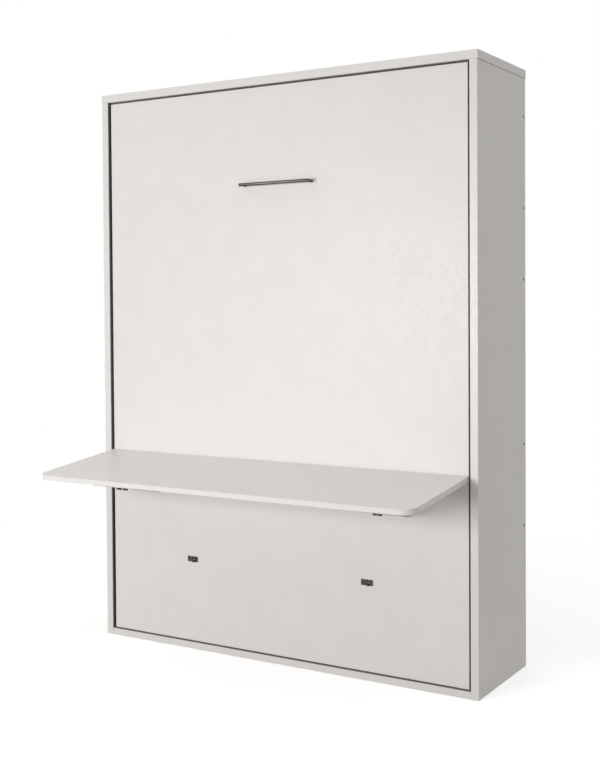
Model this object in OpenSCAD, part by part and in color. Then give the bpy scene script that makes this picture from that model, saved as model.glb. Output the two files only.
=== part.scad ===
// Upright wall bed in a cabinet, with a desk that folds down against its front panel.
// +X is the sleeper's right seen from the room, +Y points to the wall, +Z is up.
// The origin lies on the floor, under the middle of the cabinet.

/* [Mattress] */
// Width of the mattress
mattress_w = 1400; // [900:10:1600]
// Length of the mattress
mattress_l = 2000; // [1900:10:2100]
// Thickness of the mattress at its border
mattress_t = 180; // [140:5:200]
// How much the middle of the mattress swells above its border
mattress_crown = 8; // [2:1:12]
// Height of the mattress foot above the floor when the bed is shut
mattress_foot_z = 95; // [90:1:110]

/* [Cabinet] */
// Depth from the front edge to the wall
cab_d = 460; // [430:5:520]
// Thickness of each side panel
side_t = 28; // [22:1:32]
// Thickness of the top panel
top_t = 30; // [22:1:36]
// How far the top panel stands over each side panel
top_overhang = 2; // [0:0.5:6]
// Thickness of the bottom board
bottom_t = 25; // [18:1:25]
// Room above the mattress head, below the top panel
head_room = 35; // [30:1:60]
// Small bevel along every board edge
edge_bevel = 0.8; // [0.4:0.1:1.5]

/* [Rear rails] */
// Thickness of the rails behind the bed
rail_t = 18; // [16:1:25]
// How far the rails are set in from the wall plane
rail_setback = 11; // [5:1:20]
// Height of the lowest rail's bottom edge
low_rail_z = 480; // [440:10:520]
// Height of the lowest rail
low_rail_h = 370; // [340:10:420]
// Height of the middle rail's bottom edge
mid_rail_z = 1370; // [1300:10:1390]
// Height of the middle rail
mid_rail_h = 330; // [310:10:380]
// Height of the top rail
top_rail_h = 175; // [150:5:220]
// Radius of the wall fixing holes in the top rail
wall_hole_r = 4; // [3:0.5:6]
// Distance between the left and right wall fixing holes
wall_hole_w = 1200; // [600:10:1240]
// Distance between the upper and lower wall fixing holes
wall_hole_h = 80; // [50:5:100]

/* [Front panel] */
// Thickness of the bed's front panel
panel_t = 18; // [16:1:22]
// How far the panel lies behind the cabinet's front edge
panel_inset = 10; // [6:1:14]
// Gap between the panel and each side panel
panel_side_gap = 9; // [8:0.5:12]
// Gap above the panel
panel_top_gap = 7; // [5:1:12]
// Gap below the panel
panel_bottom_gap = 4; // [4:0.5:10]

/* [Bed frame] */
// Width of the frame's side tubes
tube_w = 25; // [20:1:30]
// Depth of the frame's side tubes
tube_d = 60; // [55:1:70]
// Wall of the steel tubes
tube_wall = 2; // [1.5:0.5:3]
// Depth of the head and foot tubes
end_tube_d = 40; // [30:1:45]
// Depth of the cross tubes behind the panel
cross_tube_d = 28; // [20:1:28]
// Gap between the mattress and each side tube
mattress_gap = 12; // [8:1:20]
// Room for a gas strut between a side tube and a side panel
strut_space = 25; // [25:1:32]
// How far the bed's pivot lies behind the cabinet's front edge
pivot_inset = 45; // [42:1:50]
// Height of the bed's pivot above the floor
pivot_z = 300; // [290:1:310]
// Radius of the pivot pins
pivot_r = 8; // [6:0.5:9]

/* [Slats] */
// Number of slats
slat_count = 14; // [10:1:16]
// Width of a slat
slat_w = 60; // [45:1:63]
// Thickness of a slat
slat_t = 8; // [6:0.5:10]
// How far the middle of a slat bows up
slat_bow = 14; // [6:1:16]

/* [Handle] */
// Length of the handle bar
handle_len = 292; // [200:4:400]
// Radius of the handle bar
handle_r = 6; // [5:0.5:8]
// Distance from the panel's face to the bar's axis
handle_reach = 35; // [25:1:45]
// Height of the handle above the floor
handle_z = 1765; // [1500:5:1900]
// Sideways place of the handle
handle_x = 20; // [-60:1:60]

/* [Desk] */
// How much wider than the panel the desk is
desk_extra_w = 4; // [0:1:8]
// Depth of the desk board
desk_d = 455; // [400:5:480]
// Thickness of the desk board
desk_t = 18; // [16:1:28]
// Radius of the desk's two front corners
desk_corner_r = 50; // [20:5:90]
// Slope of the open desk towards its front edge, in degrees
desk_slope = 5.9; // [0:0.1:8]
// Height of the desk's pivot line above the floor
desk_pivot_z = 713; // [690:1:740]
// Distance from the pivot line to the panel, and to the desk's underside
desk_standoff = 15; // [14:0.5:20]
// How far the desk board reaches behind its pivot line
desk_rear_reach = 15; // [8:0.5:15]

/* [Desk stays] */
// Distance from a stay's middle to the desk's end
stay_inset = 220; // [120:5:260]
// Distance from the desk's pivot down to the stay's lower pivot
stay_drop = 113; // [80:1:120]
// Distance from the desk's front edge back to the stay's upper pivot
stay_front_gap = 70; // [55:5:100]
// Width of the stay's bars
stay_w = 14; // [12:1:16]
// Thickness of the stay's bars
stay_t = 3; // [2:0.5:3]
// Distance from the knee back to the middle of the finger lug on the long bar
tab_knee_gap = 94; // [60:1:130]
// Length of the finger lug along the long bar
tab_l = 66; // [40:1:80]
// Radius of the stay's pins
stay_pin_r = 3; // [2:0.5:4]

/* [Desk catches] */
// Distance from a catch to the desk's end
catch_inset = 382; // [330:1:500]
// Distance from the desk's front edge to its catch pegs
catch_front_gap = 72; // [60:1:120]

/* [Fold-out leg] */
// How far the leg's pivot lies behind the cabinet's front edge
leg_pivot_inset = 70; // [65:1:75]
// Distance from the mattress head down to the leg's pivot
leg_head_drop = 145; // [135:5:195]
// Radius of the leg's floor bar
leg_bar_r = 12.5; // [10:0.5:14]
// Thickness of the rubber sleeves on the floor bar
leg_sleeve_t = 2; // [1:0.5:4]

/* [Gas struts] */
// How far the strut's upper pivot lies behind the cabinet's front edge
strut_top_inset = 140; // [130:1:150]
// Height of the strut's upper pivot
strut_top_z = 640; // [630:5:660]
// How far the strut's lower stud lies behind the cabinet's front edge
strut_foot_inset = 70; // [65:1:75]
// Height of the strut's lower stud when the bed is shut
strut_foot_z = 150; // [145:1:155]
// Radius of the strut's cylinder
strut_r = 9; // [8:0.5:9]
// Radius of the strut's rod
strut_rod_r = 4; // [3:0.5:5]

/* [Fits] */
// Gap round dowels, screws and other fixed pins
fixed_gap = 0.05; // [0.02:0.01:0.1]
// Gap round a turning pin or a sliding rod
running_gap = 0.06; // [0.03:0.01:0.1]
// Gap between soft or loosely seated pieces
seat_gap = 0.3; // [0.2:0.1:0.5]

/* [Hidden] */
$fn = 48;

white_board = [0.93, 0.92, 0.90];
edge_band = [0.95, 0.94, 0.92];
steel_grey = [0.55, 0.56, 0.57];
zinc = [0.75, 0.76, 0.78];
black_steel = [0.16, 0.16, 0.17];
beech = [0.83, 0.69, 0.50];
ticking = [0.93, 0.93, 0.91];
rubber = [0.10, 0.10, 0.10];
bronze = [0.27, 0.26, 0.22];

// Cabinet, worked out from the mattress that it holds.
inner_x = mattress_w / 2 + mattress_gap + tube_w + strut_space;
cab_w = 2 * (inner_x + side_t);
cab_h = mattress_foot_z + mattress_l + head_room + top_t;
front_y = -cab_d / 2;
rear_y = cab_d / 2;
side_h = cab_h - top_t;
rail_y = rear_y - rail_setback - rail_t;
screw_y = rail_y + rail_t / 2;
top_rail_z = side_h - top_rail_h;
rail_screw_reach = 37;
low_rail_screws = [low_rail_z + rail_screw_reach, low_rail_z + low_rail_h - rail_screw_reach];
mid_rail_screws = [mid_rail_z + rail_screw_reach, mid_rail_z + mid_rail_h - rail_screw_reach];
rail_screw_heights = concat(low_rail_screws, mid_rail_screws, [top_rail_z + rail_screw_reach]);

// Front panel.
panel_x = inner_x - panel_side_gap;
panel_z = bottom_t + panel_bottom_gap;
panel_h = side_h - panel_top_gap - panel_z;
panel_face_y = front_y + panel_inset;
panel_back_y = panel_face_y + panel_t;

// Bed frame and its pivot.
tube_x = inner_x - strut_space;
tube_inner_x = tube_x - tube_w;
tube_rear_y = panel_back_y + tube_d;
frame_end_gap = 5;
frame_z = mattress_foot_z - frame_end_gap;
frame_h = mattress_l + 1.6 * frame_end_gap;
pivot_y = front_y + pivot_inset;
pivot_plate_t = 3;
pivot_plate_h = 120;
bush_r = pivot_r + 3;
bush_flange_r = bush_r + 4;

// Slats and mattress.
slat_pitch = mattress_l / slat_count;
slat_y = panel_back_y + cross_tube_d + 2;
slat_half = tube_inner_x - 4;
mattress_y = slat_y + slat_t + slat_bow + 2 * seat_gap;
mattress_top_y = mattress_y + mattress_t;
cross_tube_steps = [round(slat_count * 0.29), round(slat_count * 0.5), round(slat_count * 0.71)];
strap_steps = [round(slat_count * 0.22), round(slat_count * 0.64)];

// Desk, its pivot line and its folding stays.
desk_half = panel_x + desk_extra_w / 2;
desk_pivot_y = panel_face_y - desk_standoff;
stay_x = desk_half - stay_inset;
stay_out = desk_d - desk_rear_reach - stay_front_gap;
fold_angle = 90 - desk_slope;
stay_span_open = sqrt(pow(stay_drop, 2) + pow(stay_out, 2)
    - 2 * stay_drop * stay_out * cos(fold_angle));
stay_span_folded = stay_out - stay_drop;
stay_lower_len = (stay_span_open + stay_span_folded) / 2;
stay_upper_len = (stay_span_open - stay_span_folded) / 2;
stay_tilt = atan2(stay_drop - stay_out * sin(desk_slope), stay_out * cos(desk_slope));
leg_web_t = 2.5;
leg_web_r = 8;
wall_web_x = -10;
lower_bar_x = -6.5;
upper_bar_x = 0.5;
desk_web_x = 5;
catch_x = desk_half - catch_inset;
catch_drop = desk_d - desk_rear_reach - catch_front_gap;

// Fold-out leg.
leg_pivot_y = front_y + leg_pivot_inset;
leg_pivot_z = mattress_foot_z + mattress_l - leg_head_drop;
leg_foot_r = leg_bar_r + leg_sleeve_t;
leg_floor_gap = 1;
leg_len = pivot_z + leg_pivot_inset - pivot_inset - leg_foot_r - leg_floor_gap;
leg_rest_y = mattress_top_y + mattress_crown + leg_foot_r + 1;
leg_rest_angle = acos((leg_rest_y - leg_pivot_y) / leg_len);
leg_arm_t = 5;
leg_arm_x = inner_x - 7;
leg_arm_w = 30;

// Gas struts.
strut_x = inner_x - strut_r - 3.5;
strut_top_y = front_y + strut_top_inset;
strut_foot_y = front_y + strut_foot_inset;
strut_dy = strut_foot_y - strut_top_y;
strut_dz = strut_foot_z - strut_top_z;
strut_len = norm([strut_dy, strut_dz]);
strut_tilt = atan2(strut_dz, strut_dy) + 90;
strut_open_len = norm([pivot_y + pivot_z - strut_foot_z - strut_top_y,
    pivot_z + strut_foot_y - pivot_y - strut_top_z]);
strut_eye_t = 8;
strut_eye_r = 9;
strut_neck = 9;
strut_body_len = strut_open_len - 2 * strut_eye_r - 2 * strut_neck;
strut_wall = 1.5;

module on_side(side) {
    if (side > 0) {
        children();
    } else {
        mirror([1, 0, 0]) children();
    }
}

module both_sides() {
    for (side = [-1, 1]) {
        on_side(side) children();
    }
}

// Cylinder along X, from x to x + length, with its axis through [y, z].
module x_rod(x, length, y, z, r) {
    translate([x, y, z]) rotate([0, 90, 0]) cylinder(r = r, h = length);
}

// Cylinder along Y, from y to y + length, with its axis through [x, z].
module y_rod(x, y, length, z, r) {
    translate([x, y, z]) rotate([-90, 0, 0]) cylinder(r = r, h = length);
}

module bevelled_square(a, b) {
    e = edge_bevel;
    polygon([[e, 0], [a - e, 0], [a, e], [a, b - e], [a - e, b], [e, b], [0, b - e], [0, e]]);
}

// Board with a small bevel along all twelve edges.
module board(w, d, h) {
    intersection() {
        linear_extrude(h) bevelled_square(w, d);
        translate([0, d, 0]) rotate([90, 0, 0]) linear_extrude(d) bevelled_square(w, h);
        rotate([90, 0, 90]) linear_extrude(w) bevelled_square(d, h);
    }
}

module hexagon(r) {
    polygon([for (i = [0:5]) [r * cos(60 * i), r * sin(60 * i)]]);
}

// Rectangular steel tube along Z, open at both ends.
module tube_z(w, d, h) {
    difference() {
        cube([w, d, h]);
        translate([tube_wall, tube_wall, -1]) cube([w - 2 * tube_wall, d - 2 * tube_wall, h + 2]);
    }
}

// Rectangular steel tube along X between the side tubes, open at both ends.
module tube_x_between(z, d, h) {
    translate([-tube_inner_x, panel_back_y, z]) difference() {
        cube([2 * tube_inner_x, d, h]);
        translate([-1, tube_wall, tube_wall])
            cube([2 * tube_inner_x + 2, d - 2 * tube_wall, h - 2 * tube_wall]);
    }
}

// ---------- Cabinet ----------

// Wooden dowels of the right half: upright into the top, level into the bottom board.
module dowels(gap) {
    dowel_r = 4;
    side_mid = inner_x + side_t / 2;
    for (y = [front_y + 50, -cab_d / 6, cab_d / 6, rear_y - 50]) {
        translate([side_mid, y, side_h - 25 - gap]) cylinder(r = dowel_r + gap, h = 40 + 2 * gap);
    }
    for (y = [front_y + 60, 0, rear_y - 60]) {
        x_rod(inner_x - 28 - gap, 40 + 2 * gap, y, bottom_t / 2, dowel_r + gap);
    }
}

// Screws of the right half that hold the rear rails between the side panels.
module rail_screw_set(gap) {
    shank = 60;
    neck = 9;
    head_out = 1;
    socket_depth = 4;
    for (z = rail_screw_heights) {
        difference() {
            union() {
                x_rod(cab_w / 2 - shank - gap, shank + gap, screw_y, z, 2.5 + gap);
                x_rod(cab_w / 2 - neck - gap, neck + gap, screw_y, z, 3.5 + gap);
                if (gap == 0) {
                    x_rod(cab_w / 2, head_out, screw_y, z, 4.5);
                }
            }
            if (gap == 0) {
                translate([cab_w / 2 + head_out - socket_depth, screw_y, z])
                    rotate([90, 0, 90]) linear_extrude(socket_depth + 1) hexagon(2.2);
            }
        }
    }
}

// Countersunk screw driven along +X into the right side panel from the face at x.
module plate_screw(x, y, z, gap) {
    head_h = 2.2;
    length = pivot_plate_t + 16;
    translate([x, y, z]) rotate([0, 90, 0]) {
        cylinder(r1 = 4.5 + gap, r2 = 2.3 + gap, h = head_h);
        cylinder(r = 2.3 + gap, h = length + gap);
    }
}

pivot_plate_y = panel_back_y + 2;
pivot_plate_d = pivot_y + 40 - pivot_plate_y;
pivot_plate_z = pivot_z - pivot_plate_h / 2;
anchor_plate_t = 2.5;
anchor_plate_d = 50;
anchor_plate_h = 70;

module anchor_screw_set(gap) {
    for (y = [pivot_plate_y + 12, pivot_plate_y + pivot_plate_d - 12]) {
        for (z = [pivot_plate_z + 12, pivot_plate_z + pivot_plate_h - 12]) {
            plate_screw(inner_x - pivot_plate_t, y, z, gap);
        }
    }
    for (dz = [-25, 25]) {
        plate_screw(inner_x - anchor_plate_t, strut_top_y, strut_top_z + dz, gap);
    }
}

module side_panel(side) {
    color(white_board) on_side(side) difference() {
        translate([inner_x, front_y, 0]) board(side_t, cab_d, side_h);
        dowels(fixed_gap);
        rail_screw_set(fixed_gap);
        anchor_screw_set(fixed_gap);
        buffer_screw(fixed_gap);
    }
}

module top_panel() {
    top_w = cab_w + 2 * top_overhang;
    color(white_board) difference() {
        translate([-top_w / 2, front_y, side_h]) board(top_w, cab_d, top_t);
        both_sides() dowels(fixed_gap);
    }
}

module bottom_board() {
    color(white_board) difference() {
        translate([-inner_x, front_y, 0]) board(2 * inner_x, cab_d, bottom_t);
        both_sides() dowels(fixed_gap);
    }
}

module rear_rail(z, h, wall_holes) {
    color(white_board) difference() {
        translate([-inner_x, rail_y, z]) board(2 * inner_x, rail_t, h);
        both_sides() rail_screw_set(fixed_gap);
        if (wall_holes) {
            for (x = [-wall_hole_w / 2, wall_hole_w / 2]) {
                for (dz = [-wall_hole_h / 2, wall_hole_h / 2]) {
                    y_rod(x, rail_y - 1, rail_t + 2, z + h / 2 + dz, wall_hole_r);
                }
            }
        }
    }
}

module cabinet_dowels() {
    color(beech) both_sides() dowels(0);
}

module rail_screws() {
    color(steel_grey) both_sides() rail_screw_set(0);
}

module pivot_plate(side) {
    color(black_steel) on_side(side) difference() {
        translate([inner_x - pivot_plate_t, pivot_plate_y, pivot_plate_z])
            cube([pivot_plate_t, pivot_plate_d, pivot_plate_h]);
        x_rod(inner_x - pivot_plate_t - 1, pivot_plate_t + 2, pivot_y, pivot_z, pivot_r + fixed_gap);
        anchor_screw_set(fixed_gap);
    }
}

// Pins that carry the bed: each runs from its plate through the side tube to a collar.
module pivot_pins() {
    collar_t = 3;
    collar_x = tube_inner_x - 4;
    color(zinc) both_sides() {
        x_rod(collar_x, inner_x - collar_x, pivot_y, pivot_z, pivot_r);
        x_rod(collar_x, collar_t, pivot_y, pivot_z, pivot_r + 2);
    }
}

// Upper seat of a gas strut: a plate on the side panel with a stud for the strut's eye.
module strut_anchor(side) {
    plate_x = inner_x - anchor_plate_t;
    eye_face = strut_x + strut_eye_t / 2;
    color(black_steel) on_side(side) {
        difference() {
            translate([plate_x, strut_top_y - anchor_plate_d / 2, strut_top_z - anchor_plate_h / 2])
                cube([anchor_plate_t, anchor_plate_d, anchor_plate_h]);
            anchor_screw_set(fixed_gap);
        }
        x_rod(eye_face + 0.5, plate_x - eye_face - 0.5, strut_top_y, strut_top_z, 6.5);
        x_rod(strut_x - strut_eye_t / 2 - 0.5, strut_eye_t + 1, strut_top_y, strut_top_z, 4);
        x_rod(strut_x - strut_eye_t / 2 - 2, 1.5, strut_top_y, strut_top_z, 6);
    }
}

module anchor_screws() {
    color(zinc) both_sides() {
        anchor_screw_set(0);
        buffer_screw(0);
    }
}

buffer_h = 40;
buffer_d = 20;
buffer_head_gap = 15;
buffer_z = frame_z + frame_h - buffer_head_gap - buffer_h;
buffer_y = tube_rear_y + seat_gap;

// Screw through a closing buffer's foot into the side panel.
module buffer_screw(gap) {
    plate_screw(inner_x - 12, buffer_y + buffer_d / 2, buffer_z + buffer_h / 2, gap);
}

// Rubber stops that the frame's side tubes meet when the bed shuts.
module closing_buffers() {
    color(rubber) both_sides() difference() {
        translate([tube_inner_x + 6, buffer_y, buffer_z])
            cube([inner_x - tube_inner_x - 6, buffer_d, buffer_h]);
        buffer_screw(fixed_gap);
        x_rod(tube_inner_x, inner_x - 12 - tube_inner_x, buffer_y + buffer_d / 2,
            buffer_z + buffer_h / 2, 5.5);
    }
}

// ---------- Bed: panel and frame ----------

// Screws from the cross tubes into the panel's back.
module panel_screw_set(gap) {
    thread = 12;
    for (step = cross_tube_steps) {
        for (x = [-0.8 * tube_inner_x, -0.27 * tube_inner_x, 0.27 * tube_inner_x, 0.8 * tube_inner_x]) {
            z = mattress_foot_z + slat_pitch * step;
            y_rod(x, panel_back_y - thread - gap, thread + cross_tube_d + gap, z, 2.5 + gap);
            if (gap == 0) {
                y_rod(x, panel_back_y + cross_tube_d, 1.5, z, 5);
            }
        }
    }
}

module handle_screw_set(gap) {
    for (x = [-handle_post_x(), handle_post_x()]) {
        y_rod(handle_x + x, panel_face_y - 10 - gap, panel_t + 10 + gap, handle_z, 2 + gap);
        if (gap == 0) {
            y_rod(handle_x + x, panel_back_y, 2, handle_z, 4.5);
        }
    }
}

module front_panel() {
    color(white_board) difference() {
        translate([-panel_x, panel_face_y, panel_z]) board(2 * panel_x, panel_t, panel_h);
        panel_screw_set(fixed_gap);
        handle_screw_set(fixed_gap);
        wall_leg_screw_set(fixed_gap);
        catch_screw_set(fixed_gap);
    }
}

module side_tube(side) {
    color(black_steel) on_side(side) difference() {
        translate([tube_inner_x, panel_back_y, frame_z]) tube_z(tube_w, tube_d, frame_h);
        x_rod(tube_inner_x - 1, tube_w + 2, pivot_y, pivot_z, bush_r + fixed_gap);
        x_rod(tube_inner_x - 1, tube_w + 2, leg_pivot_y, leg_pivot_z, 5 + fixed_gap);
        x_rod(tube_inner_x - 1, tube_w + 2, strut_foot_y, strut_foot_z, 4 + fixed_gap);
    }
}

module end_tube(z) {
    color(black_steel) tube_x_between(z, end_tube_d, tube_w);
}

module cross_tube(step) {
    height = tube_w;
    color(black_steel) difference() {
        tube_x_between(mattress_foot_z + slat_pitch * step - height / 2, cross_tube_d, height);
        panel_screw_set(fixed_gap);
    }
}

module panel_screws() {
    color(zinc) panel_screw_set(0);
}

// Points of a slat's bowed edge, from end to end, at the given height above its ends.
function slat_edge(rise) = [for (i = [0:16])
    let (s = i / 8 - 1) [s * slat_half, rise + slat_bow * (1 - s * s)]];

function reversed(points) = [for (i = [len(points) - 1:-1:0]) points[i]];

// Sprung wooden slats, bowed towards the mattress.
module slats() {
    color(beech) for (i = [0:slat_count - 1]) {
        translate([0, slat_y, mattress_foot_z + slat_pitch * (i + 0.5) - slat_w / 2])
            linear_extrude(slat_w)
                polygon(concat(slat_edge(0), reversed(slat_edge(slat_t))));
    }
}

// Plastic pockets on the side tubes that hold the slats' ends.
module slat_holders() {
    depth = 22;
    wall = 3;
    pocket_h = slat_t + 1.4 * slat_bow * (depth - 4) / slat_half * 2 + 2 * seat_gap;
    color(rubber) both_sides() for (i = [0:slat_count - 1]) {
        z = mattress_foot_z + slat_pitch * (i + 0.5);
        difference() {
            translate([tube_inner_x - depth, slat_y - seat_gap - 1.6, z - slat_w / 2 - wall])
                cube([depth, pocket_h + 1.6 + wall, slat_w + 2 * wall]);
            translate([tube_inner_x - depth - 1, slat_y - seat_gap, z - slat_w / 2 - seat_gap])
                cube([depth - 2, pocket_h, slat_w + 2 * seat_gap]);
        }
    }
}

module pivot_bushes() {
    sleeve_x = tube_inner_x - 0.5;
    flange_end = inner_x - pivot_plate_t - 0.5;
    color(rubber) both_sides() difference() {
        union() {
            x_rod(sleeve_x, tube_w + 0.5, pivot_y, pivot_z, bush_r);
            x_rod(tube_x, flange_end - tube_x, pivot_y, pivot_z, bush_flange_r);
        }
        x_rod(sleeve_x - 1, flange_end - sleeve_x + 2, pivot_y, pivot_z, pivot_r + running_gap);
    }
}

// Studs on the side tubes for the struts' lower eyes. Each ends just short of its eye.
module strut_studs() {
    eye_face = strut_x - strut_eye_t / 2;
    color(zinc) both_sides() {
        x_rod(tube_inner_x + tube_wall, eye_face - 0.5 - tube_inner_x - tube_wall,
            strut_foot_y, strut_foot_z, 4);
        x_rod(tube_x, 2, strut_foot_y, strut_foot_z, 9);
    }
}

// ---------- Mattress ----------

// Border profile of the mattress: [how far in from the side, height above its underside].
function mattress_profile() = let (t = mattress_t, c = mattress_crown, w = mattress_w / 2) [
    [30, 0], [14, 1.5], [5, 6], [1, 14], [0, 26], [2.5, t * 0.35], [2.5, t * 0.65],
    [0, t - 26], [1, t - 14], [5, t - 6], [14, t - 1.5], [30, t],
    for (k = [1:5]) let (s = k / 5, inset = 30 + s * (w * 0.8 - 30)) [inset, t + c * s * (2 - s)]];

// Rounded rectangle in X and Z, inset from the mattress's outline, at depth y.
function mattress_ring(inset, y) = let (r = max(70 - inset, 12), n = 7)
    [for (corner = [0:3]) for (i = [0:n])
        let (a = 90 * corner + 90 * i / n,
            sx = corner == 0 || corner == 3 ? 1 : -1,
            sz = corner < 2 ? 1 : -1)
        [sx * (mattress_w / 2 - inset - r) + r * cos(a), y,
            sz * (mattress_l / 2 - inset - r) + r * sin(a)]];

module mattress() {
    profile = mattress_profile();
    rings = [for (p = profile) mattress_ring(p[0], p[1])];
    n = len(rings[0]);
    last = len(rings) - 1;
    points = [for (ring = rings) each ring];
    sides = [for (k = [0:last - 1]) for (i = [0:n - 1]) let (j = (i + 1) % n)
        each [[k * n + i, k * n + j, (k + 1) * n + j], [k * n + i, (k + 1) * n + j, (k + 1) * n + i]]];
    bottom = [for (i = [1:n - 2]) [0, i + 1, i]];
    crown = [for (i = [1:n - 2]) [last * n, last * n + i, last * n + i + 1]];
    color(ticking) translate([0, mattress_y, mattress_foot_z + mattress_l / 2])
        polyhedron(points = points, faces = concat(sides, bottom, crown));
}

// Webbing straps over the mattress, held at the side tubes.
module mattress_straps() {
    strap_w = 40;
    strap_t = 1.6;
    clear = 1.2;
    foot_y = slat_y + 4;
    side_x = mattress_w / 2 + clear;
    over = [for (p = mattress_profile()) if (p[1] > mattress_t / 2) p];
    right_inner = concat([[side_x, foot_y]],
        [for (p = over) [side_x - p[0], mattress_y + p[1] + (p[0] < 1 ? 0 : clear)]]);
    right_outer = concat([[side_x + strap_t, foot_y]],
        [for (p = over) [side_x + strap_t - p[0] * (1 - strap_t / 100),
            mattress_y + p[1] + clear + strap_t]]);
    color(black_steel) for (step = strap_steps) {
        translate([0, 0, mattress_foot_z + slat_pitch * step - strap_w / 2]) {
            linear_extrude(strap_w) polygon(concat(right_inner,
                reversed([for (p = right_inner) [-p[0], p[1]]]),
                [for (p = right_outer) [-p[0], p[1]]], reversed(right_outer)));
            both_sides() translate([side_x, foot_y - strap_t, 0])
                cube([tube_inner_x - seat_gap - side_x, strap_t, strap_w]);
        }
    }
}

// ---------- Handle ----------

function handle_post_r() = handle_r - 0.5;
function handle_post_x() = handle_len / 2 - handle_r;

module handle_bar() {
    y = panel_face_y - handle_reach;
    color(steel_grey) x_rod(handle_x - handle_len / 2, handle_len, y, handle_z, handle_r);
}

// Posts at the bar's ends, each cut to the bar's round back.
module handle_posts() {
    y = panel_face_y - handle_reach;
    color(steel_grey) difference() {
        for (x = [-handle_post_x(), handle_post_x()]) {
            y_rod(handle_x + x, y, handle_reach, handle_z, handle_post_r());
        }
        x_rod(handle_x - handle_len, 2 * handle_len, y, handle_z, handle_r + fixed_gap);
        handle_screw_set(fixed_gap);
    }
}

module handle_screws() {
    color(zinc) handle_screw_set(0);
}

// ---------- Desk and its stays ----------

// Places a stay's drawing, made round the desk's pivot, on the right and left sides.
module at_stay(side) {
    on_side(side) translate([stay_x, desk_pivot_y, desk_pivot_z]) children();
}

// Places children drawn for a level desk round its pivot line at the desk's slope.
module at_desk() {
    translate([0, desk_pivot_y, desk_pivot_z]) rotate([desk_slope, 0, 0]) children();
}

// Flat steel web in the plane x, extruded from a drawing in Y and Z.
module web(x, t) {
    translate([x, 0, 0]) rotate([90, 0, 90]) linear_extrude(t) children();
}

// Screws of one stay's wall leg into the panel.
module wall_leg_screw_one(gap) {
    for (dz = [-12, -stay_drop / 2, 12 - stay_drop]) {
        y_rod(4, desk_standoff - leg_web_t, leg_web_t + 12 + gap, dz, 1.8 + gap);
        if (gap == 0) {
            y_rod(4, desk_standoff - leg_web_t - 1.5, 1.5, dz, 3.5);
        }
    }
}

module wall_leg_screw_set(gap) {
    for (side = [-1, 1]) {
        at_stay(side) wall_leg_screw_one(gap);
    }
}

// Steel angle on the panel: a flange on the face and a web that carries two pins.
module wall_leg(side) {
    flange_w = 25;
    color(zinc) at_stay(side) difference() {
        union() {
            translate([-flange_w / 2, desk_standoff - leg_web_t, -stay_drop - leg_web_r])
                cube([flange_w, leg_web_t, stay_drop + 2 * leg_web_r]);
            web(wall_web_x, leg_web_t) {
                translate([0, -stay_drop - leg_web_r])
                    square([desk_standoff - leg_web_t, stay_drop + 2 * leg_web_r]);
                translate([-leg_web_r, -stay_drop]) square([leg_web_r, stay_drop]);
                circle(r = leg_web_r);
                translate([0, -stay_drop]) circle(r = leg_web_r);
            }
        }
        x_rod(wall_web_x - 1, leg_web_t + 2, 0, 0, stay_pin_r + fixed_gap);
        x_rod(wall_web_x - 1, leg_web_t + 2, 0, -stay_drop, stay_pin_r + fixed_gap);
        wall_leg_screw_one(fixed_gap);
    }
}

module wall_leg_screws() {
    color(zinc) wall_leg_screw_set(0);
}

// Headed pin along X from x to x + length, with a head beyond each end.
module headed_pin(x, length, y, z) {
    head_t = 1.4;
    head_r = stay_pin_r + 2.5;
    x_rod(x - head_t, length + 2 * head_t, y, z, stay_pin_r);
    x_rod(x - head_t, head_t, y, z, head_r);
    x_rod(x + length, head_t, y, z, head_r);
}

// Pins of the desk's pivot line and of the stays' lower ends.
module stay_pins() {
    play = 0.1;
    desk_pin_len = desk_web_x + leg_web_t - wall_web_x + 2 * play;
    bar_pin_len = lower_bar_x + stay_t - wall_web_x + 2 * play;
    color(steel_grey) for (side = [-1, 1]) {
        at_stay(side) {
            headed_pin(wall_web_x - play, desk_pin_len, 0, 0);
            headed_pin(wall_web_x - play, bar_pin_len, 0, -stay_drop);
        }
    }
}

module desk_outline() {
    r = desk_corner_r;
    front = desk_rear_reach - desk_d;
    translate([-desk_half, front + r]) square([2 * desk_half, desk_d - r]);
    translate([r - desk_half, front]) square([2 * (desk_half - r), r + 1]);
    for (x = [r - desk_half, desk_half - r]) {
        translate([x, front + r]) circle(r = r, $fn = 96);
    }
}

// Screws of one stay's desk leg into the desk's underside.
module desk_leg_screw_one(gap) {
    thread = desk_t - 4;
    for (y = [-30, -stay_out * 0.35, -stay_out * 0.65, 30 - stay_out]) {
        translate([-4, y, desk_standoff - leg_web_t])
            cylinder(r = 1.8 + gap, h = leg_web_t + thread + gap);
        if (gap == 0) {
            translate([-4, y, desk_standoff - leg_web_t - 1.5]) cylinder(r = 3.5, h = 1.5);
        }
    }
}

module desk_leg_screw_set(gap) {
    for (side = [-1, 1]) {
        on_side(side) translate([stay_x, 0, 0]) desk_leg_screw_one(gap);
    }
}

// Stem of a catch's peg, drawn for a level desk. Its tip stays just off the catch's plate.
peg_bead_r = 4;
peg_tip_gap = 2.5;
peg_bead_z = peg_tip_gap + peg_bead_r - desk_standoff;

module catch_peg_one(gap) {
    root = desk_t - 5;
    translate([0, -catch_drop, peg_bead_z])
        cylinder(r = 3 + gap, h = desk_standoff + root - peg_bead_z + gap);
}

module desk_board() {
    color(white_board) at_desk() difference() {
        translate([0, 0, desk_standoff]) linear_extrude(desk_t) desk_outline();
        desk_leg_screw_set(fixed_gap);
        for (x = [-catch_x, catch_x]) {
            translate([x, 0, 0]) catch_peg_one(fixed_gap);
        }
    }
}

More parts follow.
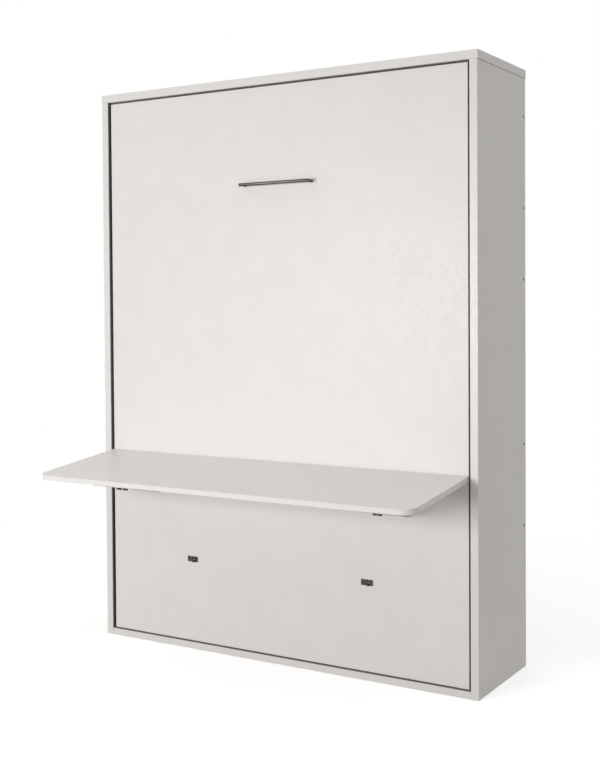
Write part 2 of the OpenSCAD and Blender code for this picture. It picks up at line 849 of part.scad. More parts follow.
// Steel angle under the desk: a flange on the board and a web that carries two pins.
module desk_leg(side) {
    flange_w = 25;
    leg_len_out = stay_out + 2 * leg_web_r;
    color(zinc) at_desk() on_side(side) translate([stay_x, 0, 0]) difference() {
        union() {
            translate([-flange_w / 2, -stay_out - leg_web_r, desk_standoff - leg_web_t])
                cube([flange_w, leg_len_out, leg_web_t]);
            web(desk_web_x, leg_web_t) {
                translate([-stay_out - leg_web_r, 0])
                    square([leg_len_out, desk_standoff - leg_web_t]);
                translate([-stay_out, -leg_web_r]) square([stay_out, leg_web_r]);
                circle(r = leg_web_r);
                translate([-stay_out, 0]) circle(r = leg_web_r);
            }
        }
        x_rod(desk_web_x - 1, leg_web_t + 2, 0, 0, stay_pin_r + running_gap);
        x_rod(desk_web_x - 1, leg_web_t + 2, -stay_out, 0, stay_pin_r + fixed_gap);
        desk_leg_screw_one(fixed_gap);
    }
}

module desk_leg_screws() {
    color(zinc) at_desk() desk_leg_screw_set(0);
}

// Pins that join the stays' upper bars to the desk legs.
module stay_end_pins() {
    play = 0.1;
    length = desk_web_x + leg_web_t - upper_bar_x + 2 * play;
    color(steel_grey) at_desk() for (side = [-1, 1]) {
        on_side(side) translate([stay_x, 0, 0]) headed_pin(upper_bar_x - play, length, -stay_out, 0);
    }
}

module catch_pegs() {
    color(zinc) at_desk() for (x = [-catch_x, catch_x]) {
        translate([x, 0, 0]) catch_peg_one(0);
        translate([x, -catch_drop, peg_bead_z]) sphere(r = peg_bead_r);
    }
}

// Flat bar with round ends, from the pivot at [0, 0] out to -length, in the plane x.
module stay_bar(x, length) {
    web(x, stay_t) {
        translate([-length, -stay_w / 2]) square([length, stay_w]);
        circle(d = stay_w + 2);
        translate([-length, 0]) circle(d = stay_w + 2);
    }
}

// Long bar of a folding stay, with its knee rivet and the notched finger lug of its release.
module stay_lower(side) {
    tab_drop = desk_standoff - 1.5;
    tab_out = stay_lower_len - tab_knee_gap;
    notch = 8;
    rivet_r = 5;
    color(zinc) at_stay(side) translate([0, 0, -stay_drop]) rotate([-stay_tilt, 0, 0]) {
        difference() {
            stay_bar(lower_bar_x, stay_lower_len);
            x_rod(lower_bar_x - 1, stay_t + 2, 0, 0, stay_pin_r + running_gap);
        }
        x_rod(lower_bar_x + stay_t, upper_bar_x - lower_bar_x - stay_t - 0.5,
            -stay_lower_len, 0, rivet_r);
        x_rod(lower_bar_x - 1.5, 1.5, -stay_lower_len, 0, rivet_r + 1);
        for (y = [-tab_out - tab_l / 2, -tab_out + notch / 2]) {
            translate([lower_bar_x, y, -tab_drop])
                cube([stay_t, (tab_l - notch) / 2, tab_drop - stay_w / 2 + 1]);
        }
    }
}

// Short bar of a folding stay, from the desk leg back to the knee.
module stay_upper(side) {
    color(zinc) at_desk() on_side(side) translate([stay_x, -stay_out, 0])
        rotate([180 - stay_tilt - desk_slope, 0, 0]) difference() {
            stay_bar(upper_bar_x, stay_upper_len);
            x_rod(upper_bar_x - 1, stay_t + 2, 0, 0, stay_pin_r + running_gap);
        }
}

// Places a catch's drawing at its spot on the panel's face, the same way round on both sides.
module at_catch(side) {
    translate([side * catch_x, panel_face_y, desk_pivot_z - catch_drop]) children();
}

module catch_screw_set(gap) {
    for (side = [-1, 1]) {
        at_catch(side) for (x = [-18.5, 18.5]) {
            y_rod(x, 0, 10 + gap, 0, 1.5 + gap);
        }
    }
}

// Spring-steel clip that grips a peg of the folded desk, with its two screws. Its two arms are
// bent out of two notches in the plate, at the upper left and the lower right.
module desk_catch(side) {
    plate_w = 46;
    plate_h = 21;
    plate_t = 1.5;
    mouth = peg_bead_r + 0.5;
    spring_t = 1.2;
    notch_in = 3;
    notch_out = 9.5;
    arm_h = plate_h / 2 - 1;
    arm = [[-notch_out - 1, 0], [-8, -6], [-mouth, -9.5], [-mouth - 2.5, -12]];
    color(bronze) at_catch(side) {
        difference() {
            translate([-plate_w / 2, -plate_t, -plate_h / 2]) cube([plate_w, plate_t, plate_h]);
            for (turn = [0, 180]) {
                rotate([0, turn, 0]) translate([-notch_out, -plate_t - 1, 1])
                    cube([notch_out - notch_in, plate_t + 2, plate_h]);
            }
        }
        for (turn = [0, 180]) {
            rotate([0, turn, 0]) translate([0, -plate_t + 0.2, 1]) linear_extrude(arm_h)
                polygon(concat(arm, reversed([for (p = arm) [p[0] - spring_t, p[1]]])));
        }
        for (x = [-18.5, 18.5]) {
            y_rod(x, -0.2, 10, 0, 1.5);
            y_rod(x, -plate_t - 1.2, 1.3, 0, 3);
        }
    }
}

// ---------- Fold-out leg ----------

// Shouldered bolts on the side tubes that the leg's arms turn on.
module leg_bolts() {
    bolt_r = 5;
    shoulder_end = leg_arm_x - 0.3;
    color(zinc) both_sides() {
        x_rod(tube_inner_x - 2, leg_arm_x + leg_arm_t - tube_inner_x + 2, leg_pivot_y,
            leg_pivot_z, bolt_r);
        x_rod(tube_inner_x - 2, 2, leg_pivot_y, leg_pivot_z, bolt_r + 3);
        x_rod(tube_x, shoulder_end - tube_x, leg_pivot_y, leg_pivot_z, bolt_r + 4);
    }
}

// Turns a drawing with the leg pointing to -Z into its stowed place.
module at_leg() {
    translate([0, leg_pivot_y, leg_pivot_z]) rotate([90 - leg_rest_angle, 0, 0]) children();
}

module leg_arm(side) {
    color(steel_grey) at_leg() on_side(side) difference() {
        web(leg_arm_x, leg_arm_t) {
            translate([-leg_arm_w / 2, -leg_len]) square([leg_arm_w, leg_len]);
            circle(d = leg_arm_w);
            translate([0, -leg_len]) circle(r = leg_bar_r);
        }
        x_rod(leg_arm_x - 1, leg_arm_t + 2, 0, 0, 5 + running_gap);
    }
}

module leg_bar() {
    bar_wall = 2;
    color(steel_grey) at_leg() difference() {
        x_rod(-leg_arm_x, 2 * leg_arm_x, 0, -leg_len, leg_bar_r);
        x_rod(-leg_arm_x - 1, 2 * leg_arm_x + 2, 0, -leg_len, leg_bar_r - bar_wall);
    }
}

// Rubber sleeves on the floor bar.
module leg_sleeves() {
    sleeve_w = 60;
    color(rubber) at_leg() both_sides() difference() {
        x_rod(0.8 * leg_arm_x, sleeve_w, 0, -leg_len, leg_foot_r);
        x_rod(0.8 * leg_arm_x - 1, sleeve_w + 2, 0, -leg_len, leg_bar_r + fixed_gap);
    }
}

// ---------- Gas struts ----------

// Places a strut drawn from its upper eye down along -Z.
module at_strut(side) {
    on_side(side) translate([strut_x, strut_top_y, strut_top_z]) rotate([strut_tilt, 0, 0]) children();
}

module strut_eye(z, hole_r) {
    difference() {
        x_rod(-strut_eye_t / 2, strut_eye_t, 0, z, strut_eye_r);
        x_rod(-strut_eye_t / 2 - 1, strut_eye_t + 2, 0, z, hole_r);
    }
}

module strut_cylinder(side) {
    top = -strut_eye_r - strut_neck / 2;
    bottom = top - strut_body_len;
    color(black_steel) at_strut(side) {
        strut_eye(0, 4 + running_gap);
        difference() {
            union() {
                translate([0, 0, top - 1]) cylinder(r = 5, h = strut_neck / 2 + 2);
                translate([0, 0, bottom]) cylinder(r = strut_r, h = strut_body_len);
            }
            translate([0, 0, bottom + 3]) cylinder(r = strut_r - strut_wall, h = strut_body_len - 6);
            translate([0, 0, bottom - 1]) cylinder(r = strut_rod_r + running_gap, h = 6);
        }
    }
}

module strut_rod(side) {
    body_bottom = -strut_eye_r - strut_neck / 2 - strut_body_len;
    piston_h = 14;
    piston_z = body_bottom + 8;
    rod_end = -strut_len + strut_eye_r - 1;
    color(zinc) at_strut(side) {
        strut_eye(-strut_len, 4.3);
        translate([0, 0, rod_end]) cylinder(r = strut_rod_r, h = piston_z - rod_end + 1);
        translate([0, 0, rod_end]) cylinder(r = 6, h = strut_neck);
        translate([0, 0, piston_z]) cylinder(r = strut_r - strut_wall - running_gap, h = piston_h);
    }
}

// ---------- Which nodes to draw ----------

side_panel(-1);  // side_panel_left
side_panel(1);  // side_panel_right
top_panel();
bottom_board();
rear_rail(top_rail_z, top_rail_h, true);  // rear_rail_top
rear_rail(mid_rail_z, mid_rail_h, false);  // rear_rail_middle
rear_rail(low_rail_z, low_rail_h, false);  // rear_rail_bottom
cabinet_dowels();
rail_screws();
pivot_plate(-1);  // pivot_plate_left
pivot_plate(1);  // pivot_plate_right
pivot_pins();
strut_anchor(-1);  // strut_anchor_left
strut_anchor(1);  // strut_anchor_right
anchor_screws();
closing_buffers();
front_panel();
side_tube(-1);  // side_tube_left
side_tube(1);  // side_tube_right
end_tube(frame_z + frame_h - tube_w);  // head_tube
end_tube(frame_z);  // foot_tube
cross_tube(cross_tube_steps[0]);  // cross_tube_lower
cross_tube(cross_tube_steps[1]);  // cross_tube_middle
cross_tube(cross_tube_steps[2]);  // cross_tube_upper
slats();
slat_holders();
mattress();
mattress_straps();
pivot_bushes();
strut_studs();
leg_bolts();
panel_screws();
handle_bar();
handle_posts();
handle_screws();
wall_leg(-1);  // wall_leg_left
wall_leg(1);  // wall_leg_right
wall_leg_screws();
stay_pins();
desk_catch(-1);  // desk_catch_left
desk_catch(1);  // desk_catch_right
desk_board();
desk_leg(-1);  // desk_leg_left
desk_leg(1);  // desk_leg_right
desk_leg_screws();
stay_end_pins();
catch_pegs();
leg_arm(-1);  // leg_arm_left
leg_arm(1);  // leg_arm_right
leg_bar();
leg_sleeves();
strut_cylinder(-1);  // strut_cylinder_left
strut_cylinder(1);  // strut_cylinder_right
strut_rod(-1);  // strut_rod_left
strut_rod(1);  // strut_rod_right
stay_lower(-1);  // stay_lower_left
stay_lower(1);  // stay_lower_right
stay_upper(-1);  // stay_upper_left
stay_upper(1);  // stay_upper_right
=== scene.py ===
"""Finish, soft goods, light and camera of an upright wall bed with a fold-down desk.

Every length is in metres, in the part's own frame: +X to the right seen from the room,
+Y to the wall, +Z up, the floor at 0. The bed is shut and the desk is open.
"""
import math

import bpy
import numpy as np
from mathutils import Matrix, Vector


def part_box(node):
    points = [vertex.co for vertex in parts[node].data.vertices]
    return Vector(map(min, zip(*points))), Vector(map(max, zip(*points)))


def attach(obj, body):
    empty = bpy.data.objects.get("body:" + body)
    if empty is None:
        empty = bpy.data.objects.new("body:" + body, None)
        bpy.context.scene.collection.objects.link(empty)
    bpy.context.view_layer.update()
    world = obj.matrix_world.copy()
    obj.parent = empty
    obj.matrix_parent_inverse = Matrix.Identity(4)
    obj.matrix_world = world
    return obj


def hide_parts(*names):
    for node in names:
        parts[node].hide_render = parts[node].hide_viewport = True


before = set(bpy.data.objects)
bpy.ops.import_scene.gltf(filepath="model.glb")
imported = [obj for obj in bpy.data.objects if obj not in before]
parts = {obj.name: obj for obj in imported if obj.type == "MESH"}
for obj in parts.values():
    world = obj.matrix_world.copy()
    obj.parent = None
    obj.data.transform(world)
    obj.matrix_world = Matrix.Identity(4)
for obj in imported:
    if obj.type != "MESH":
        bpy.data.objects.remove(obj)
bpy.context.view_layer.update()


# ---------- Camera ----------
# A long lens at eye height, right of the middle, turned to the left. The small shift puts the
# cabinet where the photograph has it.
def new_object(name, data):
    """Adds an object to the scene."""
    made = bpy.data.objects.new(name, data)
    bpy.context.scene.collection.objects.link(made)
    return made


def turn_to(thing, right, top, back, place):
    """Places a camera or a lamp by its three unit axes and its position."""
    turned = np.eye(4)
    turned[:3, :3] = np.column_stack([right, top, back])
    turned[:3, 3] = place
    thing.matrix_world = Matrix(turned.tolist())


heading, tilt, lean = (math.radians(angle) for angle in (-33.055, -1.485, -0.451))
ahead = np.array([math.sin(heading) * math.cos(tilt), math.cos(heading) * math.cos(tilt), math.sin(tilt)])
sideways = np.array([math.cos(heading), -math.sin(heading), 0.0])
above = np.cross(sideways, ahead)
camera = new_object("camera", bpy.data.cameras.new("camera"))
turn_to(camera, math.cos(lean) * sideways + math.sin(lean) * above,
        math.cos(lean) * above - math.sin(lean) * sideways, -ahead, (2.2841, -4.0112, 1.3437))
camera.data.lens = 56.22
camera.data.shift_x = 0.0873
camera.data.shift_y = -0.0723
camera.data.clip_end = 200.0
bpy.context.scene.camera = camera


# ---------- Cabinet boards: sides, top, bottom and rear rails ----------
# Chipboard with a white melamine face, pressed with a fine pearl texture, and a glued plastic band
# round its edges. The sides stand under the top board, and the rails are screwed between them.
def put(tree, kind, values=(), **settings):
    """Adds one node. settings are its properties; values are its inputs, plain or linked."""
    made = tree.nodes.new("ShaderNode" + kind)
    for key, value in settings.items():
        setattr(made, key, value)
    for key, value in dict(values).items():
        if isinstance(value, bpy.types.NodeSocket):
            tree.links.new(value, made.inputs[key])
        else:
            made.inputs[key].default_value = value
    return made


def calc(tree, operation, *terms):
    """One step of arithmetic on numbers."""
    return put(tree, "Math", dict(enumerate(terms)), operation=operation).outputs[0]


def times(tree, first, second):
    """The product of two numbers, which is also what two masks have in common."""
    return calc(tree, "MULTIPLY", first, second)


def less(tree, first, second):
    """The first number less the second."""
    return calc(tree, "SUBTRACT", first, second)


def apart(tree, first, second):
    """How far two numbers are from each other."""
    return calc(tree, "ABSOLUTE", less(tree, first, second))


def calc_v(tree, operation, *terms):
    """One step of arithmetic on vectors; a dot product or a length gives a number."""
    made = put(tree, "VectorMath", dict(enumerate(terms)), operation=operation)
    return made.outputs["Value" if operation in ("DOT_PRODUCT", "LENGTH") else "Vector"]


def vector(tree, x, y, z=0.0):
    """A vector from three numbers."""
    return put(tree, "CombineXYZ", {0: x, 1: y, 2: z}).outputs[0]


def axes_of(tree, place):
    """The three numbers of a vector, by the names X, Y and Z."""
    return put(tree, "SeparateXYZ", {0: place}).outputs


def here(tree):
    """The place on the piece, in the part's frame."""
    return put(tree, "TexCoord").outputs["Object"]


def between(tree, value, low, high, to_low=0.0, to_high=1.0):
    """Eases value from one range to another, and stays inside the second."""
    return put(tree, "MapRange", {"Value": value, "From Min": low, "From Max": high, "To Min": to_low,
                                  "To Max": to_high}, interpolation_type="SMOOTHSTEP").outputs["Result"]


def mix(tree, mask, first, second):
    """Mixes two colours by a mask. A plain colour is three numbers."""
    first, second = (colour if isinstance(colour, bpy.types.NodeSocket) else (*colour, 1.0)
                     for colour in (first, second))
    return put(tree, "Mix", {0: mask, 6: first, 7: second}, data_type="RGBA").outputs[2]


def specks(tree, where, scale, detail=2.0, roughness=0.5, squeeze=None):
    """Noise of the given scale at a position, which a vector may squeeze along its axes."""
    if squeeze is not None:
        where = calc_v(tree, "MULTIPLY", where, squeeze)
    return put(tree, "TexNoise", {"Vector": where, "Scale": scale, "Detail": detail,
                                  "Roughness": roughness}).outputs["Fac"]


def spaced(values):
    """Socket labels from keywords: _ stands for a space."""
    return {label.replace("_", " "): value for label, value in values.items()}


def new_effect(name, gives, places=(), **takes):
    """Starts a node group. gives lists the outputs that are numbers, and places those that are
    vectors; takes holds each input's first value."""
    group = bpy.data.node_groups.new(name, "ShaderNodeTree")
    for label, value in spaced(takes).items():
        kind = "NodeSocketVector" if isinstance(value, tuple) else "NodeSocketFloat"
        group.interface.new_socket(label, in_out="INPUT", socket_type=kind).default_value = value
    for label in (*gives, *places):
        kind = "NodeSocketVector" if label in places else "NodeSocketFloat"
        group.interface.new_socket(label, in_out="OUTPUT", socket_type=kind)
    return group, group.nodes.new("NodeGroupInput").outputs, group.nodes.new("NodeGroupOutput").inputs


def effect(tree, group, **values):
    """Places a node group in a material and returns its outputs."""
    return put(tree, "Group", spaced(values), node_tree=group).outputs


def feed(tree, sockets, **values):
    """Links values to the sockets of a shader or of a group's output."""
    for label, value in spaced(values).items():
        tree.links.new(value, sockets[label])


def lay_on(tree, shader, colour, height, distance, strength, **others):
    """Gives a shader its colour, its normal from a height through a Bump node, and other values."""
    relief = put(tree, "Bump", {"Height": height, "Distance": distance, "Strength": strength})
    feed(tree, shader, Base_Color=colour, Normal=relief.outputs["Normal"], **others)


def new_finish(name, roughness, metallic=0.0, **sockets):
    """A material with one shader. Uniform values are set on the shader's own sockets."""
    material = bpy.data.materials.new(name)
    material.use_nodes = True
    shader = material.node_tree.nodes["Principled BSDF"]
    shader.inputs["Roughness"].default_value = roughness
    shader.inputs["Metallic"].default_value = metallic
    for label, value in spaced(sockets).items():
        shader.inputs[label].default_value = value
    return material, material.node_tree, shader.inputs


def pairs(*names):
    """The left and the right node of each name."""
    return [name + side for name in names for side in ("_left", "_right")]


def dress(material, *names):
    """Gives CAD nodes their material."""
    for name in names:
        mesh = parts[name].data
        mesh.materials.clear()
        mesh.materials.append(material)


# Pearl: a fine dimple texture about a millimetre across, and a faint cloudiness a hand wide.
pearl, pearl_in, pearl_out = new_effect("pearl_texture", ("Height", "Cloud", "Gloss"), Position=(0, 0, 0))
at = pearl_in["Position"]
feed(pearl, pearl_out,
     Height=calc(pearl, "MULTIPLY_ADD", specks(pearl, at, 95.0), 0.35, specks(pearl, at, 620.0, 2.5, 0.55)),
     Cloud=specks(pearl, at, 7.0, 4.0, 0.6), Gloss=specks(pearl, at, 60.0, 3.0, 0.6))

# Board edge: from a rounded rectangle's signed distance on the board's face it finds the edge band,
# the glue line a millimetre in from the edge, and the fine shadow where a board's ends butt against
# another board. With q the place beyond the rounded corner's centre, the distance in from the edge is
# radius - |q| in a corner, and radius - the larger q along a side.
edging, edge_in, edge_out = new_effect(
    "board_edge", ("Band", "Glue Line", "Butt Joint"), ("Local",), Centre=(0, 0, 0), Along=(1, 0, 0),
    Across=(0, 1, 0), Half_Along=1.0, Half_Across=1.0, Corner=0.0)
spot = put(edging, "TexCoord").outputs
offset = calc_v(edging, "SUBTRACT", spot["Object"], edge_in["Centre"])
through = calc_v(edging, "CROSS_PRODUCT", edge_in["Along"], edge_in["Across"])
run = calc_v(edging, "DOT_PRODUCT", offset, edge_in["Along"])
rise = calc_v(edging, "DOT_PRODUCT", offset, edge_in["Across"])
beyond = [calc(edging, "ADD", less(edging, calc(edging, "ABSOLUTE", way), edge_in[half]),
               edge_in["Corner"]) for way, half in ((run, "Half Along"), (rise, "Half Across"))]
outside = calc_v(edging, "LENGTH", vector(edging, *(calc(edging, "MAXIMUM", way, 0.0) for way in beyond)))
inside = calc(edging, "MINIMUM", calc(edging, "MAXIMUM", *beyond), 0.0)
depth = less(edging, edge_in["Corner"], calc(edging, "ADD", outside, inside))
facing = calc(edging, "ABSOLUTE", calc_v(edging, "DOT_PRODUCT", spot["Normal"], through))
band = between(edging, facing, 0.55, 0.85, 1.0, 0.0)
glue_in, glue_wide, glue_wander = 0.0012, 0.00022, 0.0003
wander = times(edging, less(edging, specks(edging, spot["Object"], 30.0), 0.5), glue_wander)
off_line = apart(edging, calc(edging, "ADD", depth, wander), glue_in)
on_face = less(edging, 1.0, band)
glue = times(edging, between(edging, off_line, 0.0, glue_wide, 1.0, 0.0), on_face)
to_end = less(edging, edge_in["Half Along"], calc(edging, "ABSOLUTE", run))
end_on = calc(edging, "ABSOLUTE", calc_v(edging, "DOT_PRODUCT", spot["Normal"], edge_in["Along"]))
butt = times(edging, between(edging, to_end, 0.0008, 0.0016, 1.0, 0.0),
             between(edging, end_on, 0.5, 0.9, 1.0, 0.0))
feed(edging, edge_out, Band=band, Glue_Line=glue, Butt_Joint=butt, Local=vector(
    edging, run, rise, calc_v(edging, "DOT_PRODUCT", offset, through)))

melamine, glue_tone, joint_tone = (0.80, 0.772, 0.743), (0.42, 0.39, 0.34), (0.16, 0.15, 0.13)


def dress_board(name, centre=None, along=None, across=None, half=None, corner=0.0, band=0.97, joint=0.0):
    """Melamine finish for one board. Without a frame of its own, the board's box gives it: the
    thinnest side is its thickness, and the other two are its length and width. band is the tone of
    the edge band against the face, and joint the depth of the shadow along the ends. On the front
    panel a dark band is painted shade, for the gap round it."""
    if centre is None:
        low, high = (np.array(corner_place) for corner_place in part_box(name))
        order = np.argsort(high - low)
        centre, half = (low + high) / 2, (high - low)[order[[2, 1]]] / 2
        along, across = np.eye(3)[order[2]], np.eye(3)[order[1]]
    material, tree, shader = new_finish("melamine_" + name, 0.42, Specular_IOR_Level=0.45)
    edge = effect(tree, edging, Centre=tuple(centre), Along=tuple(along), Across=tuple(across),
                  Half_Along=float(half[0]), Half_Across=float(half[1]), Corner=corner)
    texture = effect(tree, pearl, Position=edge["Local"])
    darker, lighter, band_tone_and_gap_shade = ([min(1.0, c * tone) for c in melamine] for tone in (0.985, 1.012, band))
    colour = mix(tree, between(tree, texture["Cloud"], 0.3, 0.7), darker, lighter)
    # A dark band tone, as on the front panel, is painted shade for the gap.
    for mask, tone in ((edge["Band"], band_tone_and_gap_shade), (times(tree, edge["Glue Line"], 0.45), glue_tone),
                       (times(tree, edge["Butt Joint"], joint), joint_tone)):
        colour = mix(tree, mask, colour, tone)
    # The band is smoother than the face.
    height = times(tree, texture["Height"], calc(tree, "MULTIPLY_ADD", edge["Band"], -0.7, 1.0))
    gloss = between(tree, texture["Gloss"], 0.25, 0.75, 0.38, 0.46)
    lay_on(tree, shader, colour, height, 0.00006, 0.7,
           Roughness=calc(tree, "MULTIPLY_ADD", edge["Band"], -0.06, gloss))
    dress(material, name)


for board in pairs("side_panel"):
    dress_board(board, joint=0.55)
for board in ("top_panel", "bottom_board", "rear_rail_top", "rear_rail_middle", "rear_rail_bottom"):
    dress_board(board)

# ---------- Front panel of the bed ----------
# One board of the same melamine, screwed to the bed's steel frame, with an even gap all round. Its
# edges sit in that gap, and their band is painted shade: darkened so the gap reads as a dark line.
dress_board("front_panel", band=0.55)

# ---------- Desk board ----------
# A thinner board of the same kind with two rounded front corners and a band round all its edges. It
# slopes a little to the front, so its edges are found in its own turned frame.
desk_slope = math.radians(5.9)
desk_pivot = np.array([0.0, -0.235, 0.713])
desk_over_pivot, desk_behind_pivot = 0.015, 0.015
desk_thick, desk_deep, desk_half, desk_corner = 0.018, 0.455, 0.755, 0.05
desk_up = np.array([0.0, -math.sin(desk_slope), math.cos(desk_slope)])
desk_back = np.array([0.0, math.cos(desk_slope), math.sin(desk_slope)])
desk_centre = (desk_pivot + desk_back * (desk_behind_pivot - desk_deep / 2)
               + desk_up * (desk_over_pivot + desk_thick / 2))
dress_board("desk_board", desk_centre, (1.0, 0.0, 0.0), desk_back, (desk_half, desk_deep / 2),
            desk_corner, band=1.03)

# ---------- Dowels and slats ----------
# The dowels are turned beech. Each slat is five beech veneers glued in a bowed press, so its faces
# show flecked grain along its length and its edges show the glued layers.
grain, grain_in, grain_out = new_effect("beech_grain", ("Figure", "Flecks", "Height"), Position=(0, 0, 0))
figure = specks(grain, grain_in["Position"], 26.0, 4.0, 0.55, (0.12, 1.0, 1.0))
pores = specks(grain, grain_in["Position"], 900.0, 1.0, 0.5, (0.045, 1.0, 1.0))
flecks = between(grain, pores, 0.60, 0.70)
feed(grain, grain_out, Figure=figure, Flecks=flecks,
     Height=less(grain, times(grain, figure, 0.3), flecks))
slats_from, slat_pitch, slat_layers = 0.095, 2.0 / 14, 5
slat_bow, slat_thick, slat_half, slat_front = 0.014, 0.008, 0.708, -0.172
for finish, node in (("beech_slats", "slats"), ("beech_dowels", "cabinet_dowels")):
    material, tree, shader = new_finish(finish, 0.5, Coat_Weight=0.15, Coat_Roughness=0.35)
    place = here(tree)
    axes = axes_of(tree, place)
    # Each piece of wood has its own shade, and its grain is moved on from the last one's.
    above_first = less(tree, axes["Z"], slats_from)
    piece = calc(tree, "FLOOR", calc(tree, "DIVIDE", above_first, slat_pitch))
    shade = put(tree, "TexWhiteNoise", {"W": piece}, noise_dimensions="1D").outputs["Value"]
    moved_on = vector(tree, times(tree, piece, 3.7), times(tree, piece, 0.61))
    wood = effect(tree, grain, Position=calc_v(tree, "ADD", place, moved_on))
    colour = mix(tree, between(tree, wood["Figure"], 0.3, 0.7), (0.52, 0.335, 0.175),
                 (0.66, 0.46, 0.265))
    colour = mix(tree, times(tree, shade, 0.35), colour, (0.70, 0.50, 0.31))
    colour = mix(tree, times(tree, wood["Flecks"], 0.5), colour, (0.33, 0.19, 0.09))
    if node == "slats":
        # A layer's place is the depth from the slat's bowed face, as a share of one layer.
        share = calc(tree, "DIVIDE", axes["X"], slat_half)
        bowed = calc(tree, "MULTIPLY_ADD", times(tree, share, share), -slat_bow, slat_bow)
        from_face = less(tree, less(tree, axes["Y"], slat_front), bowed)
        layer = calc(tree, "DIVIDE", from_face, slat_thick / slat_layers)
        off_seam = apart(tree, calc(tree, "FRACT", calc(tree, "ADD", layer, 0.5)), 0.5)
        up = axes_of(tree, put(tree, "TexCoord").outputs["Normal"])["Z"]
        seam = times(tree, between(tree, off_seam, 0.03, 0.09, 1.0, 0.0),
                     between(tree, calc(tree, "ABSOLUTE", up), 0.5, 0.9))
        colour = mix(tree, times(tree, seam, 0.7), colour, (0.16, 0.09, 0.045))
    lay_on(tree, shader, colour, wood["Height"], 0.0002, 0.6,
           Roughness=between(tree, wood["Figure"], 0.2, 0.8, 0.42, 0.58))
    dress(material, node)

# ---------- Powder-coated steel: bed frame, plates, struts, fold-out leg, desk's legs and stays ----------
# Welded rectangular tube and pressed plates, sprayed with satin black powder that melts into a fine
# orange peel. The fold-out leg has the same coat in grey, and the desk's legs, wall legs and
# stays have it in white. The stays' finger lugs are then dipped in black vinyl.
powder, powder_in, powder_out = new_effect("powder_coat", ("Height", "Cloud", "Rub"), Position=(0, 0, 0))
at = powder_in["Position"]
feed(powder, powder_out,
     Height=calc(powder, "MULTIPLY_ADD", specks(powder, at, 1500.0, 1.0), 0.3, specks(powder, at, 480.0)),
     Cloud=specks(powder, at, 11.0, 4.0, 0.6),
     Rub=between(powder, specks(powder, at, 75.0, 5.0, 0.7), 0.62, 0.74))
# A lug is the part of the lower bar under its edge and near the lug's middle, measured across and
# along the open bar, which slopes down from its pivot by its tilt. Each pair is the mask's soft edge.
stay_tilt, stay_drop, lug_out = math.radians(11.513), 0.113, 0.2223
bar_edge, lug_end = (-0.0078, -0.0070), (0.034, 0.035)
white_coat = ((0.74, 0.72, 0.695), (0.80, 0.778, 0.75))
coats = {}
for finish, (dark, light), names in (
        ("black_powder_coat", ((0.016, 0.016, 0.018), (0.026, 0.026, 0.028)),
         (*pairs("side_tube", "pivot_plate", "strut_anchor", "strut_cylinder"), "head_tube", "foot_tube",
          "cross_tube_lower", "cross_tube_middle", "cross_tube_upper")),
        ("grey_powder_coat", ((0.235, 0.242, 0.25), (0.275, 0.282, 0.29)),
         (*pairs("leg_arm"), "leg_bar")),
        ("white_powder_coat", white_coat, pairs("wall_leg", "desk_leg", "stay_upper")),
        ("white_coat_dipped_lugs", white_coat, pairs("stay_lower"))):
    material, tree, shader = new_finish(finish, 0.42, Specular_IOR_Level=0.5)
    coat = effect(tree, powder, Position=here(tree))
    colour = mix(tree, coat["Cloud"], dark, light)
    colour = mix(tree, times(tree, coat["Rub"], 0.25), colour, [0.10 + 0.85 * c for c in light])
    if finish == "white_coat_dipped_lugs":
        from_pivot = calc_v(tree, "SUBTRACT", here(tree), desk_pivot - [0.0, 0.0, stay_drop])
        across = calc_v(tree, "DOT_PRODUCT", from_pivot, (0.0, math.sin(stay_tilt), math.cos(stay_tilt)))
        along = calc_v(tree, "DOT_PRODUCT", from_pivot, (0.0, -math.cos(stay_tilt), math.sin(stay_tilt)))
        dipped = times(tree, between(tree, across, *bar_edge, 1.0, 0.0),
                       between(tree, apart(tree, along, lug_out), *lug_end, 1.0, 0.0))
        colour = mix(tree, dipped, colour, (0.022, 0.021, 0.020))
    lay_on(tree, shader, colour, coat["Height"], 0.00012, 0.7,
           Roughness=between(tree, coat["Cloud"], 0.25, 0.75, 0.36, 0.48))
    dress(material, *names)
    coats[finish] = material


# ---------- Weld beads of the bed frame ----------
# A fillet weld runs round each end of the five tubes that cross the frame, laid by hand, so its
# surface is a row of small overlapping ripples. It is coated with the frame.
def cell_corners(grid):
    """A grid's values at each cell's four corners. They go round so that a face made of them points
    along (row step) x (column step)."""
    return np.stack([grid[:-1, :-1], grid[1:, :-1], grid[1:, 1:], grid[:-1, 1:]],
                    axis=2).reshape(-1, 4, *grid.shape[2:])


def grid_faces(rows, columns, close_rows=0, close_columns=0):
    """Quads between neighbours of a grid of points, numbered row by row. A 1 joins the last row or
    column to the first."""
    numbers = np.arange(rows * columns).reshape(rows, columns)
    return cell_corners(np.pad(numbers, ((0, close_rows), (0, close_columns)), mode="wrap"))


def swept(path, out, up, profile, closed=True):
    """A closed profile carried along a path. Point (i, k) is path[i] plus the profile's two
    coordinates along the unit vectors out[i] and up; a profile may change along the path. An open
    path gets a lid at each end."""
    out = np.reshape(out, (-1, 1, 3))
    points = path[:, None] + profile[..., :1] * out + profile[..., 1:] * np.array(up)
    numbers = np.arange(points.size // 3).reshape(points.shape[:2])
    lids = [] if closed else [numbers[0], numbers[-1, ::-1]]
    return [points, grid_faces(*numbers.shape, int(closed), 1), *lids]


def inside_out(shape):
    """Turns every face of a shape round."""
    points, *faces = shape
    return [points, *(face[..., ::-1] for face in faces)]


